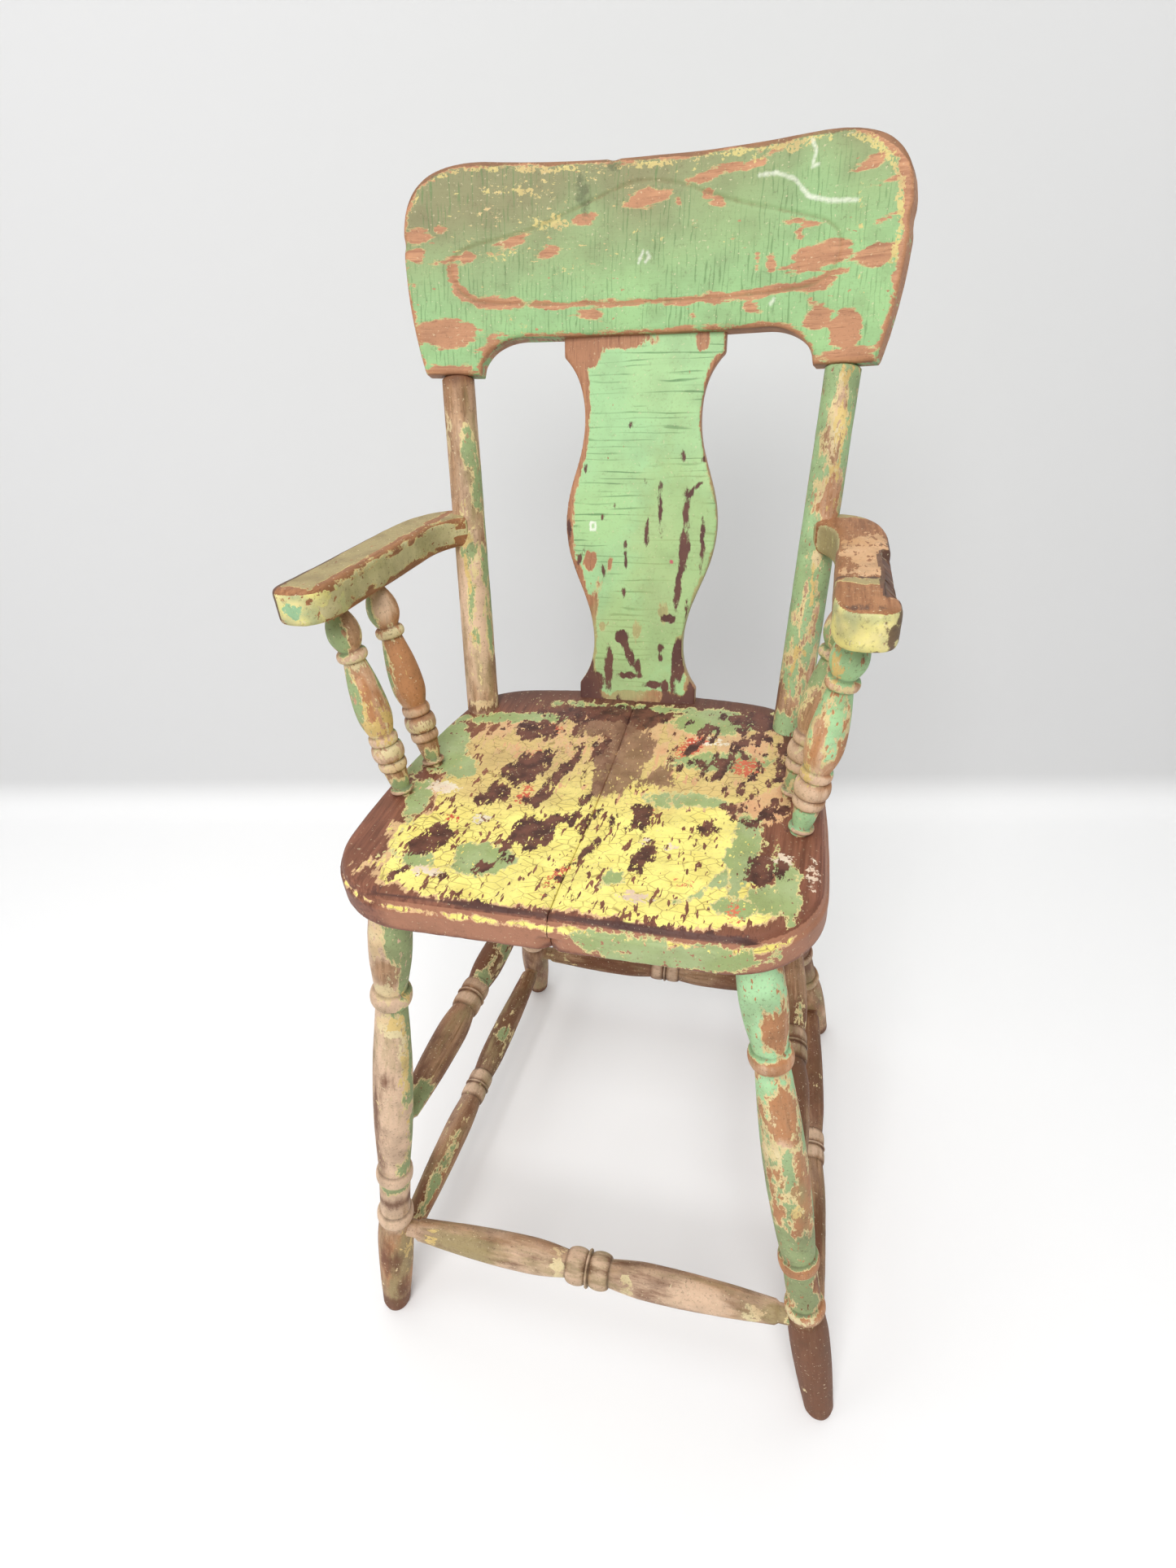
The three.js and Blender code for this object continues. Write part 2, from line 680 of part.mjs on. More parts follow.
function spindleAxis(side, rear) {
  const x = seat.halfWidth - (rear ? spindle.rearInset : spindle.inset);
  const topX = x + (rear ? spindle.rearLean : spindle.lean);
  const back = spindle.back + (rear ? spindle.pitch : 0);
  const topBack = spindle.topBack + (rear ? spindle.topPitch : 0);
  const foot = point(side * x, back, seat.height);
  const head = point(side * topX, topBack, armUnderside(topBack));
  return { foot, head };
}

function turnedSpindle({ foot, head }) {
  const { tenonRadius, tenonDepth, shoulder, neckRadius, ringLength, ringRadius } = spindle;
  const seatLine = tenonDepth;
  const armLine = tenonDepth + foot.distanceTo(head);
  const turning = new Turning(tenonRadius)
    .to(seatLine + shoulder, tenonRadius)
    .bead(spindle.footRing, spindle.footRadius)
    .to(seatLine + spindle.neck, neckRadius)
    .to(seatLine + spindle.collar, spindle.collarRadius)
    .bead(ringLength, ringRadius)
    .bead(spindle.beadLength, spindle.beadRadius)
    .bead(ringLength, ringRadius)
    .belly(armLine - spindle.head, neckRadius, spindle.vaseRadius, spindle.vaseFullest)
    .bead(ringLength, ringRadius)
    .belly(armLine - shoulder, tenonRadius, spindle.bulbRadius, spindle.bulbFullest)
    .to(armLine + tenonDepth, tenonRadius);
  const start = foot.clone().addScaledVector(head.clone().sub(foot).normalize(), -tenonDepth);
  return between(turning.geometry(smallSides), start, head);
}

function spindleSockets({ foot, head }) {
  const length = foot.distanceTo(head);
  const { tenonRadius, tenonDepth } = spindle;
  const radius = tenonRadius + clearance;
  return [
    between(rod(radius, -tenonDepth - clearance, lead, smallSides), foot, head),
    between(rod(radius, length - lead, length + tenonDepth + clearance, smallSides), foot, head),
  ];
}

// Finishes as they show: yellow over the seat, green on the back and legs, worn wood elsewhere.
const finish = (color, roughness) => () => new THREE.MeshStandardMaterial({ color, roughness, metalness: 0 });
const yellowPaint = finish(0xd9c85c, 0.62);
const greenPaint = finish(0x8bbf83, 0.6);
const dullGreenPaint = finish(0x8f9a63, 0.66);
const wornWood = finish(0xa67a56, 0.72);

const chair = new THREE.Group();
function add(name, mesh, material) {
  mesh.name = name;
  mesh.material = material();
  chair.add(mesh);
  return mesh;
}

const boards = { left: seatBoard(-1), right: seatBoard(1) };
const legs = Object.fromEntries(Object.entries(legAxes).map(([name, axis]) => [name, turnedLeg(axis)]));
const rail = crestRail();

function tie(name, legA, legB, style) {
  const from = onLeg(legA, style.height);
  const to = onLeg(legB, style.height);
  const [near, far] = stretcherSockets(from, to);
  cut(legs[legA], near);
  cut(legs[legB], far);
  add(name, turnedStretcher(from, to, style), wornWood);
}
tie("front_stretcher", "front_left_leg", "front_right_leg", frontStretcher);
tie("rear_stretcher", "rear_left_leg", "rear_right_leg", rearStretcher);
for (const name of ["left", "right"]) {
  tie(`${name}_low_stretcher`, `front_${name}_leg`, `rear_${name}_leg`, lowSideStretcher);
  tie(`${name}_high_stretcher`, `front_${name}_leg`, `rear_${name}_leg`, highSideStretcher);
}

for (const [name, side] of [["left", -1], ["right", 1]]) {
  const board = boards[name];
  const frame = sawnArm(side);
  const upright = backPost(side);
  for (const place of ["front", "rear"]) {
    const axis = spindleAxis(side, place === "rear");
    const [below, above] = spindleSockets(axis);
    cut(board, legSocket(legAxes[`${place}_${name}_leg`]), below);
    cut(frame, above);
    add(`${name}_${place}_spindle`, turnedSpindle(axis), wornWood);
  }
  if (side > 0) cut(frame, splitEdge());
  join(frame, armTenon(side, 0));
  cut(upright, armTenon(side, clearance));
  cut(rail, crestSocket(side));
  add(`seat_board_${name}`, cut(board, postSocket(side), splatTenons(clearance)), yellowPaint);
  add(`${name}_back_post`, upright, wornWood);
  add(`${name}_arm`, frame, dullGreenPaint);
}
for (const [name, mesh] of Object.entries(legs)) add(name, mesh, greenPaint);
add("back_splat", backSplat(), greenPaint);
add("crest_rail", cut(rail, splatTenons(clearance)), greenPaint);

// The origin is on the floor under the middle of the chair's depth.
const extent = new THREE.Box3().setFromObject(chair, true);
chair.position.y = -(extent.min.y + extent.max.y) / 2;
const peelingPaintChair = new THREE.Group();
peelingPaintChair.add(chair);

export default peelingPaintChair;
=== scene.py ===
import math
import bpy
import numpy as np
from mathutils import Matrix, Vector


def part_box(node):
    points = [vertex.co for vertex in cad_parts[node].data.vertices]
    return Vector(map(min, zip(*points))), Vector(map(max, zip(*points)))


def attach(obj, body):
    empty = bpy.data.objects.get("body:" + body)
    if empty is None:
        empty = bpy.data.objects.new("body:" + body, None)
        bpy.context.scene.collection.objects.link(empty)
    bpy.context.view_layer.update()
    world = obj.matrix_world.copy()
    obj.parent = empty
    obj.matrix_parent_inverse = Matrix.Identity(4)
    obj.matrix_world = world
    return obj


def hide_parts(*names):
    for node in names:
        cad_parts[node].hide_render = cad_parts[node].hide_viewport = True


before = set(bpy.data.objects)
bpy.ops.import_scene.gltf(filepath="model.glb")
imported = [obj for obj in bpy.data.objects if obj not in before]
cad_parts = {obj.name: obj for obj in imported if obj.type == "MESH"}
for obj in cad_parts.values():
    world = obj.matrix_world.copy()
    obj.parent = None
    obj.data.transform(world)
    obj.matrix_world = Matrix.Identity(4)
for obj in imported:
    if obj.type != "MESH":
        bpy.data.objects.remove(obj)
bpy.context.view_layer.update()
mm = 0.001
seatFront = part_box("seat_board_left")[0].y / mm  # the seat's front edge along Y
print("frame loaded,", len(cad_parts), "nodes")

# Pieces are shaped in millimetres. "back" runs from the seat's front edge and "up" from the floor.
# A coat's field is the distance in mm inside its edge, stored as 0.5 at the edge.
fieldReach = 20.0
farOutside = -60.0  # a place with no patch near it
noPaint = -30.0
cloudRule = dict(seedStep=17.3, key=(127.1, 311.7, 74.7), spread=43758.5453)
boardRule = dict(cornerClear=1.6, sharpTurn=0.6, sameLevel=1e-3, relax=0.5)
turningRule = dict(step=1.6, curveStep=1.5, ease=0.35, lift=0.55, hold=0.4, merge=0.01)
faceTurn = (0.1, 0.5)  # how far a normal points forward where a board's front face begins and is whole


def freshStart():
    if bpy.context.object and bpy.context.object.mode != "OBJECT":
        bpy.ops.object.mode_set(mode="OBJECT")
    bpy.ops.object.select_all(action="DESELECT")


def curveOf(*handles, count=8):  # points of a Bezier curve without its first one
    share = np.linspace(0, 1, count + 1)[1:, None]
    points = [np.array(handle, float) + 0 * share for handle in handles]
    while len(points) > 1:
        points = [a + (b - a) * share for a, b in zip(points, points[1:])]
    return points[0].tolist()


def cloud(at, size, seed=0):  # smooth noise from -1 to 1 with lumps of that size
    at = at / np.broadcast_to(size, (3,)) + seed * cloudRule["seedStep"]
    cell = np.floor(at)
    part = at - cell
    part = part * part * (3 - 2 * part)
    total = np.zeros(len(at))
    for corner in np.ndindex(2, 2, 2):
        key = (cell + corner) @ np.array(cloudRule["key"])
        value = np.sin(key) * cloudRule["spread"] % 1.0
        total += np.prod(np.where(corner, part, 1 - part), axis=1) * value
    return total * 2 - 1


def lumps(at, wave):  # a wave has its height, its lump size and its seed
    height, size, seed = wave
    return height * cloud(at, size, seed)


def unevenness(at, waves):
    return sum(lumps(at, wave) for wave in waves)[:, None]


def fade(value, low, high):
    share = np.clip((value - low) / (high - low), 0, 1)
    return share * share * (3 - 2 * share)


def inSpots(u, v, spots):  # mm inside the nearest oval: centre, half sizes, turn in degrees
    best = np.full(len(u), farOutside)
    for centreU, centreV, halfU, halfV, *turn in spots:
        angle = math.radians(turn[0] if turn else 0)
        du, dv = u - centreU, v - centreV
        along = (du * math.cos(angle) + dv * math.sin(angle)) / halfU
        across = (dv * math.cos(angle) - du * math.sin(angle)) / halfV
        best = np.maximum(best, (1 - np.hypot(along, across)) * min(halfU, halfV))
    return best


def inStrokes(u, v, strokes):  # mm inside the nearest drawn line: half width, then its points
    best = np.full(len(u), farOutside)
    for halfWidth, *points in strokes:
        for (u0, v0), (u1, v1) in zip(points, points[1:]):
            du, dv = u1 - u0, v1 - v0
            share = np.clip(((u - u0) * du + (v - v0) * dv) / (du * du + dv * dv), 0, 1)
            best = np.maximum(best, halfWidth - np.hypot(u - u0 - share * du, v - v0 - share * dv))
    return best


def places(piece):
    co = np.empty(len(piece.data.vertices) * 3)
    piece.data.vertices.foreach_get("co", co)
    return co.reshape(-1, 3)


def movePlaces(piece, co):
    piece.data.vertices.foreach_set("co", np.ascontiguousarray(co, float).ravel())
    piece.data.update()


def normalsOf(piece):
    normals = np.empty(len(piece.data.vertices) * 3)
    piece.data.vertices.foreach_get("normal", normals)
    return normals.reshape(-1, 3)


def keepFields(piece, local, fields):  # local is the place on the unbent board, in metres
    place = piece.data.attributes.new("local", "FLOAT_VECTOR", "POINT")
    place.data.foreach_set("vector", np.ascontiguousarray(local * mm, np.float32).ravel())
    for name, inside in fields.items():
        layer = piece.data.attributes.new(name, "FLOAT", "POINT")
        value = np.clip(0.5 + inside / fieldReach, -1, 2)
        layer.data.foreach_set("value", np.ascontiguousarray(value, np.float32))


def applyModifier(piece, kind, **settings):
    modifier = piece.modifiers.new(kind.title(), kind)
    for key, value in settings.items():
        setattr(modifier, key, value)
    bpy.ops.object.modifier_apply(modifier=modifier.name)


def clearCorners(outline, reach):  # points close to a corner fold over when a rim is rounded
    before, after = outline - np.roll(outline, 1, 0), np.roll(outline, -1, 0) - outline
    cross = before[:, 0] * after[:, 1] - before[:, 1] * after[:, 0]
    sharp = abs(np.arctan2(cross, np.sum(before * after, axis=1))) > boardRule["sharpTurn"]
    keep = np.ones(len(outline), bool)
    for corner in np.flatnonzero(sharp):
        keep &= np.hypot(*(outline - outline[corner]).T) > reach
        keep[corner] = True
    return outline[keep | sharp]


def sawnBoard(name, outline, thickness, rims, voxel, smoothing=4, onRim=None):
    # outline filled, pulled up to its thickness, its rims rounded, then made even for wear
    freshStart()
    outline = clearCorners(outline, boardRule["cornerClear"] * max(width for _, width, _ in rims))
    bpy.ops.mesh.primitive_circle_add(vertices=len(outline), radius=1, fill_type="NGON")
    piece = bpy.context.object
    piece.name = piece.data.name = name
    movePlaces(piece, np.column_stack([outline, np.zeros(len(outline))]))
    bpy.ops.object.mode_set(mode="EDIT")
    bpy.ops.mesh.select_all(action="SELECT")
    bpy.ops.mesh.extrude_region_move(TRANSFORM_OT_translate={"value": (0, 0, thickness)})
    bpy.ops.mesh.select_all(action="SELECT")
    bpy.ops.mesh.normals_make_consistent(inside=False)
    for level, width, segments in rims:
        bpy.ops.mesh.select_all(action="DESELECT")
        bpy.ops.object.mode_set(mode="OBJECT")
        co = places(piece)
        for edge in piece.data.edges:
            ends = co[list(edge.vertices)]
            onLevel = np.all(abs(ends[:, 2] - level) < boardRule["sameLevel"])
            edge.select = bool(onLevel and (onRim is None or onRim(ends)))
        bpy.ops.object.mode_set(mode="EDIT")
        bpy.ops.mesh.select_mode(type="EDGE")
        bpy.ops.mesh.bevel(offset=width, segments=segments, affect="EDGES", clamp_overlap=False)
        bpy.ops.mesh.select_mode(type="VERT")
    bpy.ops.object.mode_set(mode="OBJECT")
    applyModifier(piece, "REMESH", mode="VOXEL", voxel_size=voxel)
    applyModifier(piece, "SMOOTH", factor=boardRule["relax"], iterations=smoothing)
    return piece


class Turning:  # half section of a turned piece: distance along the axis and radius
    def __init__(self, radius, start=0.0):
        self.points = [(start, 0.0), (start, radius)]
        self.beads = []

    def to(self, along, radius):
        last = self.points[-1]
        steps = max(1, round(math.hypot(along - last[0], radius - last[1]) / turningRule["step"]))
        self.points += [tuple(p) for p in curveOf(last, (along, radius), count=steps)]
        return self

    def belly(self, along, radius, fullest, share):
        start, first = self.points[-1]
        middle = start + (along - start) * share
        before, after = middle - start, along - middle
        ease, lift, hold = turningRule["ease"], turningRule["lift"], turningRule["hold"]
        rising = (start + before * ease, first + (fullest - first) * lift)
        falling = (along - after * ease, radius + (fullest - radius) * lift)
        crown = (middle, fullest)
        risen, held = (middle - before * hold, fullest), (middle + after * hold, fullest)
        stepsUp, stepsDown = (max(4, round(run / turningRule["curveStep"])) for run in (before, after))
        self.points += curveOf((start, first), rising, risen, crown, count=stepsUp)
        self.points += curveOf(crown, held, falling, (along, radius), count=stepsDown)
        return self

    def bead(self, length, fullest):
        start, radius = self.points[-1]
        pull = (4 * fullest - radius) / 3
        end = start + length
        self.beads.append((start + length / 2, length / 2))
        steps = max(6, round(length))
        self.points += curveOf((start, radius), (start, pull), (end, pull), (end, radius), count=steps)
        return self

    def piece(self, name, sides):  # the section is drawn as a line and spun about Z
        freshStart()
        drawn = bpy.data.curves.new(name, "CURVE")
        drawn.dimensions = "3D"
        line = drawn.splines.new("POLY")
        section = self.points + [(self.points[-1][0], 0.0)]
        line.points.add(len(section) - 1)
        for slot, (along, radius) in zip(line.points, section):
            slot.co = (radius, 0, along, 1)
        piece = bpy.data.objects.new(name, drawn)
        bpy.context.scene.collection.objects.link(piece)
        bpy.context.view_layer.objects.active = piece
        piece.select_set(True)
        bpy.ops.object.convert(target="MESH")
        piece = bpy.context.object
        piece.data.name = name
        bpy.ops.object.mode_set(mode="EDIT")
        bpy.ops.mesh.select_all(action="SELECT")
        bpy.ops.mesh.spin(steps=sides, angle=2 * math.pi, center=(0, 0, 0), axis=(0, 0, 1))
        bpy.ops.mesh.select_all(action="SELECT")
        bpy.ops.mesh.remove_doubles(threshold=turningRule["merge"])
        bpy.ops.mesh.normals_make_consistent(inside=False)
        bpy.ops.object.mode_set(mode="OBJECT")
        return piece


def standing(foot, head, facing=(0, -1, 0)):  # local Z along the axis, local -Y towards "facing"
    axis = (Vector(head) - Vector(foot)).normalized()
    side = axis.cross(-Vector(facing)).normalized() * -1
    back = axis.cross(side)
    return Matrix.Translation(foot) @ Matrix((side, back, axis)).transposed().to_4x4()


def finishPiece(piece, node, finish, placing):
    piece.data.transform(Matrix.Scale(mm, 4) @ placing)
    piece.data.materials.clear()
    piece.data.materials.append(finish)
    freshStart()
    piece.select_set(True)
    bpy.context.view_layer.objects.active = piece
    bpy.ops.object.shade_smooth()
    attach(piece, "root")
    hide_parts(node)
    return piece


# Paint and wood finishes

def shade(code):  # written colour to the shader's linear one
    parts = [int(code[i:i + 2], 16) / 255 for i in (1, 3, 5)]
    return [p / 12.92 if p <= 0.04045 else ((p + 0.055) / 1.055) ** 2.4 for p in parts] + [1.0]


even = (1, 1, 1)
noiseShift = (1, 1.7, 0.6)  # a seed's move along each axis
noiseSeeds = dict(grain=3.1, pores=5.7, tint=1.3, chips=7.9, mottle=4.4, rim=3.3, cracks=1.1, gaps=2.2,
                  specks=6.1, stains=7.7, flecks=11.3, grime=9.3)
woodRule = dict(grainStep=(0.32, 0.68), tintStep=(0.42, 0.7), poreStep=(0.6, 0.72), poreSize=0.3,
                poreCover=0.45, patch=45, grainHeight=0.5, poreHeight=-0.25)
coatRule = dict(size=9, stretch=even, ragged=0.5, crisp=0.03, detail=4, roughness=0.66, thick=0.0, cover=1.0,
                mottle=30, mottleStep=(0.35, 0.68), chipSoft=0.06, chipLoss=-2.0, rimSize=7, rimSoft=0.05,
                netStep=(0.3, 0.55), crackStep=(0.3, 0.6))  # what a coat takes unless it says otherwise
crackRule = dict(bend=1.7, bendSize=1.6, core=0.3, gapSize=1.4, gapStep=(0.45, 0.57))
# the last dark layer is dirt together with painted shade in creases and under overhangs
soilRule = dict(soil="#5A4330", speckSize=2.2, speckRough=0.75, speckStep=(0.52, 0.76), stainSize=22,
                stainStep=(0.4, 0.75), stainShare=0.5, dust="#E2D2AC", fleckSize=2.2, fleckRough=0.6,
                fleckStep=(0.66, 0.71), grime="#2E211A", grimeAndShadeSize=14, grimeAndShadeRough=0.5,
                grimeAndShadeStep=(0.55, 1.35), grimeAndShadeCover=0.75, specular=0.3, bump=0.4, depth=0.0008)


class Finish:
    def __init__(self, name):
        self.material = bpy.data.materials.new(name)
        self.material.use_nodes = True
        self.tree = self.material.node_tree
        self.shader = self.tree.nodes["Principled BSDF"]
        self.local = self.attribute("local", "Vector")

    def add(self, kind, **settings):
        node = self.tree.nodes.new(kind)
        for key, value in settings.items():
            setattr(node, key, value)
        return node

    def feed(self, socket, value):
        if isinstance(value, bpy.types.NodeSocket):
            self.tree.links.new(value, socket)
        else:
            socket.default_value = value

    def attribute(self, name, output="Fac"):
        return self.add("ShaderNodeAttribute", attribute_name=name).outputs[output]

    def math(self, operation, first, second=0.0, third=0.0):
        node = self.add("ShaderNodeMath", operation=operation)
        for socket, value in zip(node.inputs, (first, second, third)):
            self.feed(socket, value)
        return node.outputs[0]

    def spread(self, stretch, shift):  # the place on the board, drawn out along each axis
        mapping = self.add("ShaderNodeMapping")
        self.feed(mapping.inputs["Vector"], self.local)
        mapping.inputs["Scale"].default_value = [1 / s for s in stretch]
        mapping.inputs["Location"].default_value = [shift * share for share in noiseShift]
        return mapping.outputs[0]

    def noise(self, size, stretch=even, detail=3.0, shift=0.0, rough=0.55):  # feature size in mm
        place = self.spread(stretch, shift)
        node = self.add("ShaderNodeTexNoise")
        self.feed(node.inputs["Vector"], place)
        node.inputs["Scale"].default_value = 1 / (size * mm)
        node.inputs["Detail"].default_value = detail
        node.inputs["Roughness"].default_value = rough
        return node.outputs["Fac"]

    def cells(self, size, stretch, shift):  # distance from the edges of uneven cells
        place = self.spread(stretch, shift)
        node = self.add("ShaderNodeTexVoronoi", feature="DISTANCE_TO_EDGE")
        self.feed(node.inputs["Vector"], place)
        node.inputs["Scale"].default_value = 1 / (size * mm)
        return node.outputs["Distance"]

    def step(self, value, low, high):
        node = self.add("ShaderNodeMapRange", interpolation_type="SMOOTHSTEP")
        self.feed(node.inputs["Value"], value)
        node.inputs["From Min"].default_value = low
        node.inputs["From Max"].default_value = high
        return node.outputs["Result"]

    def mix(self, share, first, second):
        node = self.add("ShaderNodeMix", data_type="RGBA")
        self.feed(node.inputs[0], share)
        self.feed(node.inputs[6], first)
        self.feed(node.inputs[7], second)
        return node.outputs[2]

    def lines(self, spacing, across, run, width, shift):
        # fine cracks side by side: levels across the board, bent and broken up by noise
        rule = crackRule
        along = [1.0 if axis == across else run for axis in "XYZ"]
        split = self.add("ShaderNodeSeparateXYZ")
        self.feed(split.inputs[0], self.local)
        bend = self.math("MULTIPLY", self.noise(spacing * rule["bendSize"], along, 2, shift), rule["bend"])
        level = self.math("MULTIPLY_ADD", split.outputs[across], 1 / (spacing * mm), bend)
        half = width / spacing
        apart = self.step(self.math("PINGPONG", level, 0.5), rule["core"] * half, half)
        gaps = self.noise(spacing * rule["gapSize"], along, 1, shift + noiseSeeds["gaps"])
        whole = self.step(gaps, *rule["gapStep"])
        return self.math("MULTIPLY", self.math("SUBTRACT", 1.0, apart), whole)

    def wood(self, look):
        rule = woodRule
        grain = self.noise(look["grain"], look["stretch"], 3, noiseSeeds["grain"])
        pores = self.noise(look["grain"] * rule["poreSize"], look["stretch"], 1, noiseSeeds["pores"])
        cloudy = self.noise(rule["patch"], even, 2, noiseSeeds["tint"])
        colour = self.mix(self.step(grain, *rule["grainStep"]), shade(look["dark"]), shade(look["light"]))
        colour = self.mix(self.step(cloudy, *rule["tintStep"]), colour, shade(look["tint"]))
        porous = self.math("MULTIPLY", self.step(pores, *rule["poreStep"]), rule["poreCover"])
        colour = self.mix(porous, colour, shade(look["pore"]))
        sunk = self.math("MULTIPLY", pores, rule["poreHeight"])
        return colour, self.math("MULTIPLY_ADD", grain, rule["grainHeight"], sunk)

    def stain(self, colour, field, low, high, cover, code):  # a soft change of colour where a field says so
        share = self.math("MULTIPLY", self.step(field, low, high), cover)
        return self.mix(share, colour, shade(code))

    def coat(self, colour, height, look):
        # one layer over what is below: its field is roughened, then cut to a crisp peeled edge
        look = {**coatRule, **look}
        shift, ragged, crisp = look["shift"], look["ragged"], look["crisp"]
        level = 0.5 + ragged
        uneven = self.noise(look["size"], look["stretch"], look["detail"], shift, look["roughness"])
        field = self.math("MULTIPLY_ADD", uneven, ragged * 2, self.attribute(look["field"]))
        if "chips" in look:  # small flakes lost all over
            chipSize, chipLevel = look["chips"]
            chipStretch = look.get("chipStretch", look["stretch"])
            flakes = self.noise(chipSize, chipStretch, 2, shift + noiseSeeds["chips"])
            lost = self.step(flakes, chipLevel, chipLevel + look["chipSoft"])
            field = self.math("MULTIPLY_ADD", lost, look["chipLoss"], field)
        mask = self.step(field, level - crisp, level + crisp)
        blotch = self.noise(look["mottle"], even, 2, shift + noiseSeeds["mottle"])
        if "rim" in look:  # an older coat shows here and there along the edge
            rimCode, rimWidth = look["rim"]
            wander = self.noise(look["rimSize"], even, 1, shift + noiseSeeds["rim"])
            edge = self.math("MULTIPLY_ADD", wander, 2 * rimWidth, field)
            colour = self.mix(self.step(edge, level, level + look["rimSoft"]), colour, shade(rimCode))
        first, second = shade(look["colour"]), shade(look.get("second", look["colour"]))
        paint = self.mix(self.step(blotch, *look["mottleStep"]), first, second)
        if "tone" in look:
            toneField, toneCode = look["tone"]
            paint = self.mix(self.step(self.attribute(toneField), 0.0, 1.0), paint, shade(toneCode))
        if "net" in look:  # alligator cracks
            netSize, netStretch, netWidth, netCode, strength = look["net"]
            net = self.step(self.cells(netSize, netStretch, shift), netWidth, 0.0)
            share = self.math("MULTIPLY", self.step(blotch, *look["netStep"]), strength)
            paint = self.mix(self.math("MULTIPLY", net, share), paint, shade(netCode))
        if "cracks" in look:
            spacing, across, run, width, crackCode, strength = look["cracks"]
            crack = self.lines(spacing, across, run, width, shift + noiseSeeds["cracks"])
            share = self.math("MULTIPLY", self.step(blotch, *look["crackStep"]), strength)
            paint = self.mix(self.math("MULTIPLY", crack, share), paint, shade(crackCode))
        colour = self.mix(self.math("MULTIPLY", mask, look["cover"]), colour, paint)
        if look["thick"]:
            height = self.math("MULTIPLY_ADD", mask, look["thick"], height)
        return colour, height

    def coats(self, colour, height, looks):  # from the oldest to the newest
        for look in looks:
            colour, height = self.coat(colour, height, look)
        return colour, height

    def finish(self, colour, height, rough, soil, dust=0.4):
        rule = soilRule
        specks = self.noise(rule["speckSize"], even, 4, noiseSeeds["specks"], rule["speckRough"])
        specks = self.step(specks, *rule["speckStep"])
        stains = self.step(self.noise(rule["stainSize"], even, 2, noiseSeeds["stains"]), *rule["stainStep"])
        stains = self.math("MULTIPLY", stains, soil * rule["stainShare"])
        colour = self.mix(self.math("MULTIPLY_ADD", specks, soil, stains), colour, shade(rule["soil"]))
        flecks = self.noise(rule["fleckSize"], even, 2, noiseSeeds["flecks"], rule["fleckRough"])
        colour = self.stain(colour, flecks, *rule["fleckStep"], dust, rule["dust"])
        # dirt together with painted shade in creases and under overhangs, from each piece's field
        grime = self.attribute("grime")
        patchy = self.noise(rule["grimeAndShadeSize"], even, 2, noiseSeeds["grime"])
        grime = self.math("MULTIPLY_ADD", patchy, rule["grimeAndShadeRough"], grime)
        colour = self.stain(colour, grime, *rule["grimeAndShadeStep"], rule["grimeAndShadeCover"], rule["grime"])
        self.feed(self.shader.inputs["Base Color"], colour)
        self.shader.inputs["Roughness"].default_value = rough
        self.shader.inputs["Specular IOR Level"].default_value = rule["specular"]
        relief = self.add("ShaderNodeBump")
        relief.inputs["Strength"].default_value = rule["bump"]
        relief.inputs["Distance"].default_value = rule["depth"]
        self.feed(relief.inputs["Height"], height)
        self.feed(self.shader.inputs["Normal"], relief.outputs[0])
        return self.material


# Seat boards

